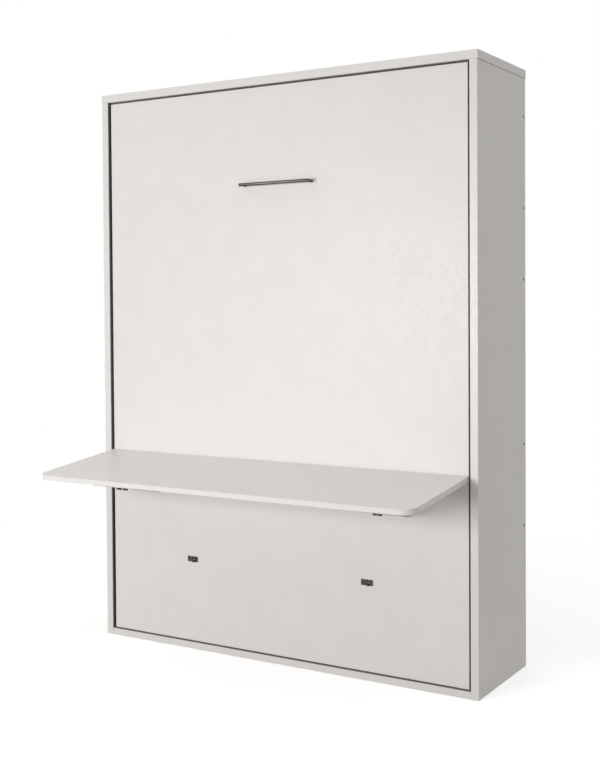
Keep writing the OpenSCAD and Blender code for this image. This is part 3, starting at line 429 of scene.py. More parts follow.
def new_piece(name, shapes, material, body, smooth=True):
    """Joins shapes into one mesh, finishes it and lets it ride a body. A shape is its points, its
    quads and any lids, which are faces of many corners."""
    points, faces, count = [], [], 0
    for more, quads, *lids in shapes:
        points.append(more.reshape(-1, 3))
        faces += (quads + count).tolist() + [(lid + count).tolist() for lid in lids]
        count += len(points[-1])
    mesh = bpy.data.meshes.new(name)
    mesh.from_pydata(np.concatenate(points).tolist(), [], faces)
    mesh.polygons.foreach_set("use_smooth", np.full(len(faces), smooth))
    mesh.materials.append(material)
    mesh.update()
    piece = new_object(name, mesh)
    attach(piece, body)
    return piece


tube_end, frame_front, tube_half = 0.712, -0.202, 0.0125
bead_size, bead_step, bead_swell = 0.0028, 0.0012, 0.16


def weld_bead(side, middle_z, deep):
    """The bead round one tube's end. Its path is the tube's rectangle, in even steps with square
    corners. Its profile is a quarter round, sunk a little into the joint, whose size swells and
    sinks at every other step."""
    corners = np.array([[0.0, -tube_half], [0.0, tube_half], [deep, tube_half], [deep, -tube_half]])
    legs = np.roll(corners, -1, 0) - corners
    steps = np.maximum((np.linalg.norm(legs, axis=1) / bead_step).astype(int), 2)
    flat = np.concatenate([start + leg * np.linspace(0, 1, n, endpoint=False)[:, None]
                           for start, leg, n in zip(corners, legs, steps)])
    outward = flat - [deep / 2, 0.0]
    outward /= np.linalg.norm(outward, axis=1)[:, None]
    path = np.column_stack([np.full(len(flat), side * tube_end), frame_front + flat[:, 0],
                            middle_z + flat[:, 1]])
    size = bead_size * (1.0 + bead_swell * np.cos(np.arange(len(flat)) * math.pi))
    turn = np.linspace(0.0, math.pi / 2, 5)
    quarter = np.vstack([[-0.05, -0.05], np.column_stack([np.cos(turn), np.sin(turn)])])
    bead = quarter * size[:, None, None]
    return swept(path, np.column_stack([np.zeros(len(flat)), outward]), (-side, 0.0, 0.0),
                 bead[:, ::-1] if side < 0 else bead)


# The height of each cross tube's middle, and the tube's depth.
cross_tubes = ((0.1025, 0.040), (2.0855, 0.040), (0.66643, 0.028), (1.095, 0.028), (1.52357, 0.028))
new_piece("frame_welds", [weld_bead(side, *tube) for tube in cross_tubes for side in (-1, 1)],
          coats["black_powder_coat"], "bed")

# ---------- Felt tape: painted shade in the front gap ---
# Three strips of dark grey felt, stuck inside the side panels and on the bottom board, just behind
# their front edges. They are painted shade: a dark sheet set in the gap round the front panel so that the
# gap looks dark.
material, tree, shader = new_finish("gap_shade_felt", 0.95, Sheen_Weight=0.25)
fibres = specks(tree, here(tree), 2600.0, 3.0, 0.7)
# The felt's dark grey is painted shade for the gap.
colour = mix(tree, between(tree, fibres, 0.35, 0.65), (0.068, 0.065, 0.060), (0.145, 0.139, 0.130))
lay_on(tree, shader, colour, fibres, 0.0004, 0.8)
side_face, board_face, shade_strip_from, shade_strip_to, shade_strip_short = 0.762, 0.025, 0.0262, 2.1288, 0.0015
shade_strip_y, shade_strip_half, shade_strip_high = -0.2180, 0.0085, 0.001
# A strip's profile is a flat arch on a flat back. The direction of each strip's path turns the arch's
# faces away from its board.
arch = np.linspace(0.0, math.pi, 13)
shade_strip_profile = np.column_stack([shade_strip_high * np.sin(arch) ** 0.35, -shade_strip_half * np.cos(arch)])
new_piece("gap_shade_strips", [
    swept(np.linspace(start, end, 61), out, (0.0, 1.0, 0.0), shade_strip_profile, closed=False)
    for start, end, out in (
        ((side_face, shade_strip_y, shade_strip_from), (side_face, shade_strip_y, shade_strip_to), (-1.0, 0.0, 0.0)),
        ((-side_face, shade_strip_y, shade_strip_to), (-side_face, shade_strip_y, shade_strip_from), (1.0, 0.0, 0.0)),
        ((shade_strip_short - side_face, shade_strip_y, board_face), (side_face - shade_strip_short, shade_strip_y, board_face),
         (0.0, 0.0, 1.0)))], material, "cabinet", smooth=False)

# ---------- Turned steel: pivot pins, studs, bolts, stay pins, strut rods, catch pegs ----------
# Plain steel turned on a lathe, so fine rings run round each pin; the strut rods are ground smooth
# and carry a film of oil.
turning, turning_in, turning_out = new_effect(
    "turning_marks", ("Height", "Tone"), Position=(0, 0, 0), Squeeze=(1, 0.02, 0.02))
at = turning_in["Position"]
feed(turning, turning_out, Height=specks(turning, at, 1800.0, 3.0, 0.6, turning_in["Squeeze"]),
     Tone=specks(turning, at, 130.0, 3.0, 0.6))
for finish, names, squeeze, low, high in (
        ("turned_steel", ("pivot_pins", "strut_studs", "leg_bolts", "stay_pins", "stay_end_pins"),
         (1.0, 0.02, 0.02), 0.26, 0.40),
        ("ground_rod_steel", (*pairs("strut_rod"), "catch_pegs"), (0.03, 0.03, 1.0), 0.14, 0.24)):
    material, tree, shader = new_finish(finish, 0.3, 1.0)
    marks = effect(tree, turning, Position=here(tree), Squeeze=squeeze)
    colour = mix(tree, marks["Tone"], (0.50, 0.495, 0.48), (0.66, 0.655, 0.64))
    lay_on(tree, shader, colour, marks["Height"], 0.00004, 0.6,
           Roughness=between(tree, marks["Tone"], 0.25, 0.75, low, high))
    dress(material, *names)

# ---------- Screws ----------
# Zinc-plated wood screws; the ten that hold the rails are plain oiled steel with a hexagon socket,
# and look dark against the white side panels.
plating, plating_in, plating_out = new_effect(
    "zinc_plating", ("Crystals", "Stain", "Height"), Position=(0, 0, 0))
at = plating_in["Position"]
cells = put(plating, "TexVoronoi", {"Vector": at, "Scale": 240.0}, feature="F1").outputs["Color"]
feed(plating, plating_out, Crystals=axes_of(plating, cells)["X"],
     Stain=specks(plating, at, 42.0, 4.0, 0.65), Height=specks(plating, at, 900.0, 3.0, 0.6))
for finish, dull, bright, tinge, low, high, names in (
        ("zinc_screws", (0.42, 0.43, 0.45), (0.62, 0.63, 0.65), (0.50, 0.47, 0.40), 0.28, 0.46,
         ("anchor_screws", "panel_screws", "handle_screws", "wall_leg_screws", "desk_leg_screws")),
        ("oiled_screws", (0.10, 0.098, 0.092), (0.17, 0.165, 0.155), (0.09, 0.075, 0.055), 0.34, 0.5,
         ("rail_screws",))):
    material, tree, shader = new_finish(finish, 0.38, 1.0)
    zinc = effect(tree, plating, Position=here(tree))
    stained = times(tree, between(tree, zinc["Stain"], 0.45, 0.75), 0.55)
    colour = mix(tree, stained, mix(tree, zinc["Crystals"], dull, bright), tinge)
    lay_on(tree, shader, colour, zinc["Height"], 0.00003, 0.5,
           Roughness=between(tree, zinc["Stain"], 0.25, 0.75, low, high))
    dress(material, *names)

# ---------- Handle ----------
# A round bar with a post at each end, all of one steel, brushed along its length to a satin finish.
# Screws from behind the front panel hold the posts. Its colour is far darker than bare steel: painted
# reflection, standing in for the dark surroundings the bar mirrors.
material, tree, shader = new_finish("satin_brushed_steel_painted_dark", 0.3, 1.0, Anisotropic=0.5)
strokes = specks(tree, here(tree), 1600.0, 3.0, 0.65, (0.012, 1.0, 1.0))
broad = specks(tree, here(tree), 420.0, 2.0, 0.5, (0.02, 1.0, 1.0))
# The near-black tones are painted reflection: dark surroundings mirrored in the bar.
colour = mix(tree, between(tree, broad, 0.32, 0.68), (0.045, 0.043, 0.038), (0.165, 0.16, 0.15))
colour = mix(tree, times(tree, strokes, 0.4), colour, (0.095, 0.092, 0.085))
lay_on(tree, shader, colour, strokes, 0.00003, 0.6,
       Roughness=between(tree, strokes, 0.25, 0.75, 0.24, 0.38))
dress(material, "handle_bar", "handle_posts")

# ---------- Desk catches ----------
# Spring-steel clips, hardened and burnished to a dark olive brown, each held by two screws of its own.
# A peg on the desk snaps into each when the desk is folded down.
material, tree, shader = new_finish("burnished_spring_steel", 0.34, 0.85)
heat = specks(tree, here(tree), 160.0, 4.0, 0.6)
colour = mix(tree, between(tree, heat, 0.3, 0.7), (0.026, 0.024, 0.017), (0.088, 0.080, 0.057))
lay_on(tree, shader, colour, specks(tree, here(tree), 1400.0), 0.00003, 0.6,
       Roughness=between(tree, heat, 0.3, 0.7, 0.28, 0.44))
dress(material, *pairs("desk_catch"))

# ---------- Rubber and nylon ----------
# Moulded rubber: the closing buffers and the floor bar's sleeves. Moulded nylon: the slat holders and
# the pivot bushes, with the fine spark-eroded grain of their mould.
moulded, moulded_in, moulded_out = new_effect(
    "moulded_grain", ("Height", "Dust"), Position=(0, 0, 0), Size=700.0)
at = moulded_in["Position"]
feed(moulded, moulded_out, Height=specks(moulded, at, moulded_in["Size"], 3.0, 0.6),
     Dust=between(moulded, specks(moulded, at, 35.0, 5.0, 0.7), 0.45, 0.8))
for finish, base, dusty, size, low, high, names in (
        ("moulded_rubber", (0.020, 0.020, 0.021), (0.075, 0.074, 0.070), 900.0, 0.72, 0.86,
         ("closing_buffers", "leg_sleeves")),
        ("moulded_nylon", (0.018, 0.018, 0.020), (0.050, 0.050, 0.050), 1300.0, 0.46, 0.60,
         ("slat_holders", "pivot_bushes"))):
    material, tree, shader = new_finish(finish, 0.6)
    mould = effect(tree, moulded, Position=here(tree), Size=size)
    colour = mix(tree, times(tree, mould["Dust"], 0.5), base, dusty)
    lay_on(tree, shader, colour, mould["Height"], 0.0001, 0.6,
           Roughness=between(tree, mould["Height"], 0.2, 0.8, low, high))
    dress(material, *names)
    coats[finish] = material

# ---------- Tube plugs ----------
# Black nylon caps pressed into the open ends of the frame's two side tubes. Each cap is a stack of
# rounded rectangles; a ring stands at a height above the tube's end and is drawn in by an inset.
plug_x, plug_y, plug_half_x, plug_half_y, plug_corner = 0.7245, -0.172, 0.0125, 0.030, 0.003
plug_height, plug_inset = np.array([(0.0, 0.0), (0.0009, 0.0), (0.0018, 0.0004), (0.0024, 0.0012),
                                    (0.0026, 0.0024)]).T[..., None]


def plug_side(half, wave):
    """One coordinate round the rounded rectangles: a corner's centre, reached by a steep and cut-off
    wave, plus the wave times the corner's radius less the inset."""
    return np.clip(wave * 9.0, -1, 1) * (half - plug_corner) + wave * (plug_corner - plug_inset)


def tube_plug(side, end_z, away):
    """The cap on one end of a side tube. away is -1 at the lower end and 1 at the upper."""
    turn = np.linspace(0.0, 2 * math.pi, 33)[:-1] + math.pi / 32
    rings = np.stack([plug_side(plug_half_x, np.cos(turn)), plug_side(plug_half_y, np.sin(turn))], axis=-1)
    path = np.array([side * plug_x, plug_y, end_z]) + away * plug_height * [0.0, 0.0, 1.0]
    cap = swept(path, (1.0, 0.0, 0.0), (0.0, 1.0, 0.0), rings, closed=False)
    return inside_out(cap) if away > 0 else cap


tube_ends = ((0.090, -1.0), (2.098, 1.0))
new_piece("tube_plugs", [tube_plug(side, *end) for side in (-1, 1) for end in tube_ends],
          coats["moulded_nylon"], "bed", smooth=False)

# ---------- Mattress ----------
# A foam core in a quilted knitted cover: the top and the underside are stitched in diamonds and puff
# up between the stitches, and a ribbed border is sewn to both with a rolled tape edge. It lies on
# the slats and is held by the straps.
bed_mid_z, under_y = 1.095, -0.1494
half_w, half_l, thick, round_r = 0.700, 1.000, 0.180, 0.070
crown, crown_from, crown_run = 0.008, 0.030, 0.530
cells_x, cells_z, diamond = 80, 116, 7
press_at, press_in, press_run, strap_w = (0.5235714, 1.3807143), 0.0034, 0.055, 0.040
# How far in from the outline: the panels' edge, the seams, the border between them, the hems. How far
# above the underside: the seams and the hems. The top's are as far below the top.
panel_in, seam_in, border_in, hem_in, seam_h, hem_h = 0.020, 0.0035, 0.0065, 0.010, 0.024, 0.0115
# The flat panels start this far inside the top and the underside, and are inflated from there.
top_sunk, under_sunk = 0.0068, 0.0062
puff_high, puff_most, skin, slat_clear = 0.0064, 0.0075, 0.0005, 0.0004
on_bed = np.array([0.0, under_y, bed_mid_z])


def inset_of(x, z, half_x=half_w, half_z=half_l, radius=round_r):
    """Distance in from a rounded rectangle round the mattress's middle, and its outward direction.
    With q the place beyond the corner's centre, the distance is radius - |q| in a corner and
    radius - the larger q along a side."""
    qx, qz = np.abs(x) - (half_x - radius), np.abs(z) - (half_z - radius)
    px, pz = np.maximum(qx, 0.0), np.maximum(qz, 0.0)
    reach = np.hypot(px, pz)
    inset = radius - reach - np.minimum(np.maximum(qx, qz), 0.0)
    flat = reach < 1e-9
    nx = np.where(flat, (qx >= qz) * 1.0, px / np.maximum(reach, 1e-9)) * np.sign(x)
    nz = np.where(flat, (qx < qz) * 1.0, pz / np.maximum(reach, 1e-9)) * np.sign(z)
    return inset, nx, nz


def top_limit(x, z):
    """Height of the mattress's top: its thickness, a crown that rises by s (2 - s) over the share s
    of the way from the border to the middle, and a shallow trough under each strap."""
    share = np.clip((inset_of(x, z)[0] - crown_from) / crown_run, 0.0, 1.0)
    trough = 0.0
    for strap_z in press_at:
        away = np.abs(z + bed_mid_z - strap_z) - strap_w / 2
        trough = trough + press_in * np.clip(1.0 - away / press_run, 0.0, 1.0) ** 2
    return thick + crown * share * (2.0 - share) - trough


# Panel grid: a flat rectangle whose corner squares are drawn to quarter circles by
# x' = a sqrt(1 - b^2 / 2), z' = b sqrt(1 - a^2 / 2).
half_px, half_pz, panel_r = half_w - panel_in, half_l - panel_in, round_r - panel_in + seam_in
flat_x, flat_z = np.meshgrid(np.linspace(-half_px, half_px, cells_x + 1),
                             np.linspace(-half_pz, half_pz, cells_z + 1))
a = np.clip((np.abs(flat_x) - half_px + panel_r) / panel_r, 0.0, 1.0)
b = np.clip((np.abs(flat_z) - half_pz + panel_r) / panel_r, 0.0, 1.0)
round_x = np.sign(flat_x) * (half_px - panel_r + panel_r * a * np.sqrt(1 - b * b / 2))
round_z = np.sign(flat_z) * (half_pz - panel_r + panel_r * b * np.sqrt(1 - a * a / 2))
in_corner = (a > 0) & (b > 0)
sheet_x, sheet_z = np.where(in_corner, round_x, flat_x), np.where(in_corner, round_z, flat_z)
step_i, step_j = np.meshgrid(np.arange(cells_x + 1) - cells_x // 2, np.arange(cells_z + 1) - cells_z // 2)
stitched = ((step_i + step_j) % diamond == 0) | ((step_i - step_j) % diamond == 0)
stitched &= (np.abs(step_i) < cells_x // 2) & (np.abs(step_j) < cells_z // 2)
numbers = np.arange(sheet_x.size).reshape(sheet_x.shape)
count = sheet_x.size
rim = np.concatenate([numbers[0, :-1], numbers[:-1, -1], numbers[-1, :0:-1], numbers[:0:-1, 0]])
rim_x, rim_z = sheet_x.ravel()[rim], sheet_z.ravel()[rim]
out_x, out_z = inset_of(rim_x, rim_z, half_px, half_pz, panel_r)[1:]
# Border rings from the underside's rim to the top's rim: (inset from the outline, height).
border = np.column_stack([[hem_in, seam_in, *[border_in] * 7, seam_in, hem_in],
                          [hem_h, *(seam_h + (thick - 2 * seam_h) * np.linspace(0, 1, 9)), thick - hem_h]])
grown = panel_in - border[:, :1]
ring_x, ring_z = rim_x + out_x * grown, rim_z + out_z * grown
points = np.concatenate([np.stack(np.broadcast_arrays(x, y, z), -1).reshape(-1, 3) for x, y, z in (
    (sheet_x, top_limit(sheet_x, sheet_z) - top_sunk, sheet_z), (sheet_x, under_sunk, sheet_z),
    (ring_x, border[:, 1:], ring_z))])
pinned = np.concatenate([stitched.ravel(), stitched.ravel(),
                         np.repeat(border[:, 0] == seam_in, len(rim))])
top_faces = grid_faces(*sheet_x.shape)
loops = np.concatenate([(rim + count)[None], 2 * count + np.arange(ring_x.size).reshape(ring_x.shape),
                        rim[None]])
quads = np.concatenate([top_faces, (top_faces + count)[:, ::-1],
                        cell_corners(np.pad(loops, ((0, 0), (0, 1)), mode="wrap"))])
cover = bpy.data.meshes.new("mattress_cover")
cover.from_pydata((points + on_bed).tolist(), [], quads.tolist())
# Two UV maps: metres on the cloth, and the quilting's own grid steps for the stitches. The border
# isn't quilted, so all of it has one place in the second map, off every line.
off_lines = 0.31
around = np.concatenate([[0.0], np.cumsum(np.hypot(np.diff(ring_x[5], append=ring_x[5, 0]),
                                                   np.diff(ring_z[5], append=ring_z[5, 0])))])
border_uv = cell_corners(np.stack(np.meshgrid(around, [0.0, *border[:, 1], thick]), -1))
for label, u, v, border_part in (("cloth", sheet_x, sheet_z, border_uv),
                                 ("quilting", step_i, step_j, np.full_like(border_uv, off_lines))):
    panel_part = np.column_stack([u.ravel(), v.ravel()])[top_faces]
    cover.uv_layers.new(name=label).data.foreach_set("uv", np.concatenate(
        [panel_part, panel_part[:, ::-1], border_part]).astype(np.float32).ravel())
cover.polygons.foreach_set("use_smooth", np.ones(len(quads), bool))
on_border = np.arange(len(quads)) >= 2 * len(top_faces)
cover.polygons.foreach_set("material_index", on_border.astype(np.int32))
mattress = new_object("mattress_cover", cover)
# The cover is inflated as cloth, held at its stitches and seams; the push is even in all cells.
group = mattress.vertex_groups.new(name="stitches")
group.add(np.flatnonzero(pinned).tolist(), 1.0, "REPLACE")
cloth = mattress.modifiers.new("cloth", "CLOTH")
for label, value in dict(
        quality=6, mass=0.25, tension_stiffness=12.0, compression_stiffness=12.0, shear_stiffness=4.0,
        bending_stiffness=0.4, vertex_group_mass="stitches", pin_stiffness=1.0, use_pressure=True,
        uniform_pressure_force=4.0, shrink_min=-0.02).items():
    setattr(cloth.settings, label, value)
cloth.settings.effector_weights.gravity = 0.0
cloth.collision_settings.use_collision = False
for step in range(1, 21):
    bpy.context.scene.frame_set(step)
swollen = np.empty(points.size)
mattress.evaluated_get(bpy.context.evaluated_depsgraph_get()).data.vertices.foreach_get("co", swollen)
moved = swollen.reshape(-1, 3) - (points + on_bed)
mattress.modifiers.remove(cloth)
mattress.vertex_groups.remove(group)
bpy.context.scene.frame_set(1)
# The puffs are brought to the height of a real quilt, and every point's travel is capped.
travel = np.linalg.norm(moved, axis=1)
moved *= puff_high / max(np.percentile(travel[:2 * count], 97), 1e-6)
travel = np.linalg.norm(moved, axis=1)
moved *= np.minimum(1.0, puff_most / np.maximum(travel, 1e-9))[:, None]
settled = points + moved
# The cover stays inside the space its solid holds: below the crowned top, off the slats, and inside
# the border's own profile, which pulls in at half height. Heights and insets are given in millimetres.
inset, nx, nz = inset_of(settled[:, 0], settled[:, 2])
settled[:, 1] = np.clip(settled[:, 1], slat_clear, top_limit(settled[:, 0], settled[:, 2]) - skin)
profile_heights = np.array([0, 1.5, 6, 14, 26, 63, 117, 154, 166, 174, 178.5, 180, 190]) / 1000
profile_insets = np.array([24, 14, 5, 1, 0, 2.5, 2.5, 0, 1, 5, 14, 24, 24]) / 1000
short = np.clip(np.interp(settled[:, 1], profile_heights, profile_insets) + skin - inset, 0.0, None)
settled[:, 0] -= nx * short
settled[:, 2] -= nz * short
cover.vertices.foreach_set("co", (settled + on_bed).ravel())
cover.update()
finer = mattress.modifiers.new("finer", "SUBSURF")
finer.levels = finer.render_levels = 1
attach(mattress, "bed")
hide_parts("mattress")

# Weave: two crossed sets of threads, whose product makes the over-and-under height, with slubs.
weave, weave_in, weave_out = new_effect(
    "woven_threads", ("Height", "Slub"), Cloth=(0, 0, 0), Thread=(1400, 1400, 0), Lean=0.0)
threads = axes_of(weave, calc_v(weave, "MULTIPLY", weave_in["Cloth"], weave_in["Thread"]))
leaning = calc(weave, "MULTIPLY_ADD", threads["Y"], weave_in["Lean"], threads["X"])
warp, weft = (calc(weave, "SINE", times(weave, way, math.pi)) for way in (leaning, threads["Y"]))
feed(weave, weave_out, Height=calc(weave, "MULTIPLY_ADD", times(weave, warp, weft), 0.5, 0.5),
     Slub=specks(weave, weave_in["Cloth"], 230.0, 3.0, 0.6, (1.0, 0.25, 1.0)))


def on_map(tree, name):
    """The place on one of the piece's own UV maps."""
    return put(tree, "UVMap", uv_map=name).outputs["UV"]


stitches_a_cell = 23.0


def stitch_line(tree, steps, first, second):
    """Mask of the stitches along one set of the quilting's diagonals. A line is where one diagonal is
    a whole number of cells, and the other counts the stitches along it."""
    across, along = (calc(tree, "DIVIDE", calc(tree, "MULTIPLY_ADD", steps["Y"], way, steps["X"]),
                          diamond * 1.0) for way in (first, second))
    off = apart(tree, calc(tree, "FRACT", calc(tree, "ADD", across, 0.5)), 0.5)
    from_middle = apart(tree, calc(tree, "FRACT", times(tree, along, stitches_a_cell)), 0.5)
    return times(tree, between(tree, off, 0.006, 0.016, 1.0, 0.0),
                 between(tree, from_middle, 0.34, 0.44, 1.0, 0.0))


for finish, pale, dark, thread, lean in (
        ("knitted_ticking", (0.80, 0.79, 0.76), (0.68, 0.665, 0.63), (900.0, 700.0, 0.0), 0.0),
        ("ribbed_border", (0.66, 0.665, 0.67), (0.47, 0.475, 0.485), (420.0, 900.0, 0.0), 0.35)):
    material, tree, shader = new_finish(finish, 0.9, Sheen_Weight=0.25, Sheen_Roughness=0.5,
                                        Specular_IOR_Level=0.25)
    woven = effect(tree, weave, Cloth=on_map(tree, "cloth"), Thread=thread, Lean=lean)
    colour = mix(tree, between(tree, woven["Height"], 0.1, 0.8), dark, pale)
    colour = mix(tree, times(tree, woven["Slub"], 0.35), colour, pale)
    height = calc(tree, "MULTIPLY_ADD", woven["Slub"], 0.4, woven["Height"])
    if finish == "knitted_ticking":
        steps = axes_of(tree, on_map(tree, "quilting"))
        sewn = calc(tree, "MAXIMUM", *(stitch_line(tree, steps, way, -way) for way in (1.0, -1.0)))
        colour = mix(tree, times(tree, sewn, 0.8), colour, (0.86, 0.855, 0.84))
        height = calc(tree, "MULTIPLY_ADD", sewn, 1.6, height)
    lay_on(tree, shader, colour, height, 0.00035, 0.7,
           Roughness=between(tree, woven["Height"], 0.0, 1.0, 0.95, 0.82))
    cover.materials.append(material)


# ---------- Mattress tape edge ----------
# A woven tape folded over each seam of the border and sewn through, so it stands out as a small
# roll all round. Its path is the seam's rounded rectangle.
def rounded_path(half_x, half_z, radius, steps):
    """Points and outward directions at even steps along a rounded rectangle. For a turn angle t the
    direction is (cos t, sin t); the corner centre is added on arcs and slid along straights."""
    arc = radius * math.pi / 2
    run_x, run_z = 2 * (half_x - radius), 2 * (half_z - radius)
    lengths = np.cumsum([0.0, run_z, arc, run_x, arc, run_z, arc, run_x, arc])
    far = np.linspace(0.0, lengths[-1], steps, endpoint=False)
    stretch = np.searchsorted(lengths, far, "right") - 1
    share = (far - lengths[stretch]) / np.diff(lengths)[stretch]
    corner = stretch // 2
    angle = (corner + (stretch % 2) * share) * math.pi / 2
    direction = np.column_stack([np.cos(angle), np.sin(angle)])
    centres = np.array([[1, 1], [-1, 1], [-1, -1], [1, -1]]) * (half_x - radius, half_z - radius)
    starts = np.array([[1, -1], [1, 1], [-1, 1], [-1, -1]]) * (half_x - radius, half_z - radius)
    straight = starts[corner] + (centres[corner] - starts[corner]) * share[:, None]
    return np.where(stretch[:, None] % 2 == 0, straight, centres[corner]) + direction * radius, direction


roll_out, roll_up, roll_swell = 0.0030, 0.0046, 0.05


def tape_roll(seam_y):
    """The roll on one seam: an ellipse, fuller upwards than outwards, that swells between stitches."""
    flat, direction = rounded_path(half_w - seam_in, half_l - seam_in, round_r - seam_in, 900)
    path = np.column_stack([flat[:, 0], np.full(len(flat), under_y + seam_y), flat[:, 1] + bed_mid_z])
    out = np.column_stack([direction[:, 0], np.zeros(len(flat)), direction[:, 1]])
    turn = np.linspace(0.0, 2 * math.pi, 11)[:-1]
    swell = 1.0 + roll_swell * np.sin(np.arange(len(flat)) * 2 * math.pi / 3)
    roll = np.column_stack([roll_out * np.cos(turn), roll_up * np.sin(turn)]) * swell[:, None, None]
    return inside_out(swept(path, out, (0.0, 1.0, 0.0), roll))


material, tree, shader = new_finish("woven_tape", 0.85, Sheen_Weight=0.2)
woven = effect(tree, weave, Cloth=here(tree), Thread=(900.0, 900.0, 0.0), Lean=0.5)
colour = mix(tree, woven["Height"], (0.50, 0.505, 0.515), (0.68, 0.685, 0.69))
lay_on(tree, shader, colour, woven["Height"], 0.0003, 0.7)
new_piece("mattress_tape_edge", [tape_roll(seam_h), tape_roll(thick - seam_h)], material, "bed")

# ---------- Mattress straps ----------
# Two bands of black polypropylene webbing, woven with a chevron and a corded edge. Each rises from
# a loop on the side tube, passes over the border and the top, and presses into the cover.
webbing, tree, shader = new_finish("webbing_chevron", 0.7, Sheen_Weight=0.15)
uv = axes_of(tree, on_map(tree, "webbing"))
folded = apart(tree, calc(tree, "FRACT", times(tree, uv["Y"], 100.0)), 0.5)
zigzag = calc(tree, "MULTIPLY_ADD", folded, 2.2, times(tree, uv["X"], 420.0))
chevron = calc(tree, "MULTIPLY_ADD", calc(tree, "SINE", times(tree, zigzag, 2 * math.pi)), 0.5, 0.5)
cord = between(tree, calc(tree, "ABSOLUTE", uv["Y"]), 0.0172, 0.0185)
colour = mix(tree, chevron, (0.012, 0.012, 0.013), (0.045, 0.045, 0.048))
colour = mix(tree, times(tree, cord, 0.5), colour, (0.06, 0.06, 0.064))
lay_on(tree, shader, colour, calc(tree, "MULTIPLY_ADD", cord, 0.6, chevron), 0.0004, 0.8,
       Roughness=between(tree, chevron, 0.0, 1.0, 0.8, 0.6))
# The band's profile: places across it, and heights above its underside, fullest at the corded edges.
band_across = np.array([-20.0, -20.0, -19.2, -10.0, 0.0, 10.0, 19.2, 20.0, 20.0, 19.2, 10.0, 0.0, -10.0,
                        -19.2]) / 1000
band_height = np.array([0.3, 1.3, 1.8, 1.6, 1.6, 1.6, 1.8, 1.3, 0.3, 0.0, 0.0, 0.0, 0.0, 0.0]) / 1000
foot_y, border_x, strap_bend, top_from, clear, strap_pull = -0.1686, 0.7006, 0.024, 0.66, 0.0002, 0.0010
foot_steps = np.array([[0.7113, 0.0], [0.7075, 0.0], [0.7035, 0.0010], [0.7012, 0.0035],
                       [border_x, 0.0080]])
bands = []
for strap_z in press_at:
    # Half of the band's underside in the plane across the bed: foot, side of the border, bend, top.
    over = np.linspace(top_from, 0.0, 34)
    top_run = np.column_stack([over, under_y + top_limit(over, np.full(34, strap_z - bed_mid_z)) + clear])
    bend_y = top_run[0, 1] - strap_bend
    side_run = np.column_stack([border_x - strap_pull * np.sin(np.linspace(0, math.pi, 9)),
                                np.linspace(foot_y + 0.02, bend_y - 0.008, 9)])
    turn = np.linspace(0.0, math.pi / 2, 9)
    bend = np.column_stack([border_x - strap_bend + strap_bend * np.cos(turn),
                            bend_y + strap_bend * np.sin(turn)])
    half = np.concatenate([foot_steps + (0.0, foot_y), side_run, bend, top_run])
    whole = np.concatenate([half, (half * (-1, 1))[-2::-1]])
    along = np.gradient(whole, axis=0)
    along /= np.linalg.norm(along, axis=1)[:, None]
    out = np.column_stack([along[:, 1], -along[:, 0], np.zeros(len(whole))])
    run_to = np.concatenate([[0.0], np.cumsum(np.linalg.norm(np.diff(whole, axis=0), axis=1))])
    path = np.column_stack([whole, np.full(len(whole), strap_z)])
    bands.append((run_to, swept(path, out, (0.0, 0.0, 1.0), np.column_stack([band_height, band_across]),
                                closed=False)))
straps = new_piece("webbing_straps", [band for run_to, band in bands], webbing, "bed")
# The UV map is metres along and across the band; its two end lids have none.
values = []
for run_to, band in bands:
    cloth_uv = np.stack(np.meshgrid(run_to, [*band_across, band_across[0]], indexing="ij"), -1)
    values += [cell_corners(cloth_uv).reshape(-1, 2), np.zeros((2 * len(band_across), 2))]
straps.data.uv_layers.new(name="webbing").data.foreach_set(
    "uv", np.concatenate(values).astype(np.float32).ravel())
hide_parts("mattress_straps")

# ---------- Floor and light ----------
# A white studio floor that shows plain white to the lens but keeps the soft shadow at the foot of the
# cabinet. The room gives an even light, and one large soft lamp stands in front.
reach = 30.0
floor_mesh = bpy.data.meshes.new("floor")
floor_mesh.from_pydata([(-reach, -reach, 0), (reach, -reach, 0), (reach, reach, 0), (-reach, reach, 0)], [],
                       [(0, 1, 2, 3)])
floor = new_object("floor", floor_mesh)


def seen_directly(tree):
    """1 for rays from the lens, from a mirror or through glass; 0 for light that is scattered."""
    ray = put(tree, "LightPath").outputs
    return calc(tree, "MAXIMUM", calc(tree, "MAXIMUM", ray["Is Camera Ray"], ray["Is Glossy Ray"]),
                ray["Is Transmission Ray"])


def glowing(tree, kind, colour, strength=1.0):
    """The output of a lit surface or of the room's light."""
    return put(tree, kind, {"Color": (*colour, 1.0), "Strength": strength}).outputs[0]


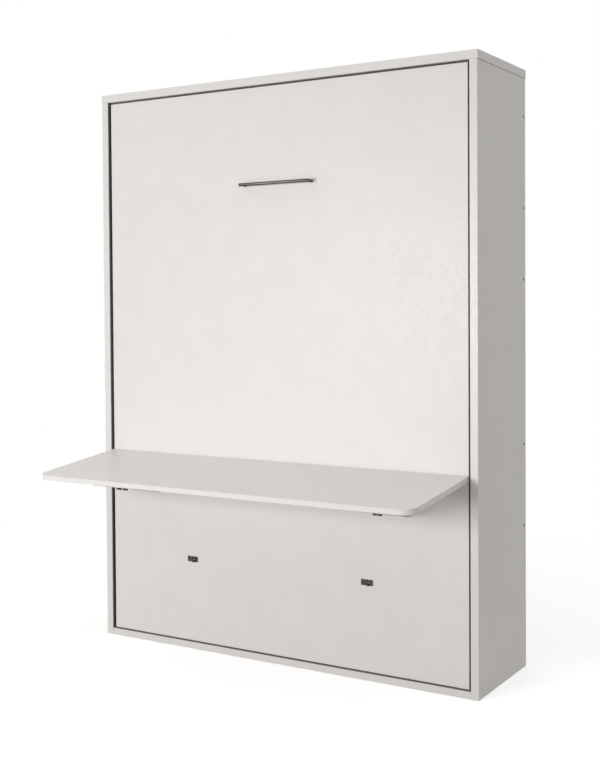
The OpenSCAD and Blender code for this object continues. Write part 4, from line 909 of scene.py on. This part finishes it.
# Scattered light meets a greyer floor than the lens sees, and the seen one fades to plain white.
white = (1.0, 1.0, 1.0)
material = bpy.data.materials.new("studio_floor")
material.use_nodes = True
tree = material.node_tree
tree.nodes.clear()
plain, lit = (put(tree, "BsdfDiffuse", {"Color": (tone, tone, tone, 1.0)}).outputs[0]
              for tone in (0.42, 0.86))
near = put(tree, "AddShader", {0: lit, 1: glowing(tree, "Emission", white, 0.45)}).outputs[0]
far = between(tree, calc_v(tree, "LENGTH", here(tree)), 1.3, 3.0)
clean = put(tree, "MixShader", {0: far, 1: near, 2: glowing(tree, "Emission", white)}).outputs[0]
shown = put(tree, "MixShader", {0: seen_directly(tree), 1: plain, 2: clean}).outputs[0]
put(tree, "OutputMaterial", {"Surface": shown})
floor_mesh.materials.append(material)

world = bpy.data.worlds.new("studio")
bpy.context.scene.world = world
world.use_nodes = True
tree = world.node_tree
tree.nodes.clear()
# The room is brighter towards the wall, to the right and overhead.
towards = axes_of(tree, put(tree, "TexCoord").outputs["Generated"])
level = calc(tree, "ADD", between(tree, towards["Y"], 0.0, 0.7, 0.10, 0.24), calc(
    tree, "ADD", between(tree, towards["X"], 0.0, 1.0, 0.0, 0.275),
    between(tree, towards["Z"], 0.1, 1.0, 0.0, 0.66)))
room = glowing(tree, "Background", (1.0, 0.995, 0.985), level)
shown = put(tree, "MixShader", {0: seen_directly(tree), 1: room, 2: glowing(tree, "Background", white)})
put(tree, "OutputWorld", {"Surface": shown.outputs[0]})

lamp = new_object("front_lamp", bpy.data.lights.new("front_lamp", "AREA"))
lamp.data.shape = "RECTANGLE"
lamp.data.size = 2.2
lamp.data.size_y = 1.4
lamp.data.energy = 150.0
stand, aim = np.array([-1.25, -5.2, 1.34]), np.array([0.1, -0.2, 1.0])
back = (stand - aim) / np.linalg.norm(stand - aim)
side = np.cross([0.0, 0.0, 1.0], back)
side /= np.linalg.norm(side)
turn_to(lamp, side, np.cross(back, side), back, stand)

bpy.context.scene.view_settings.view_transform = "Standard"
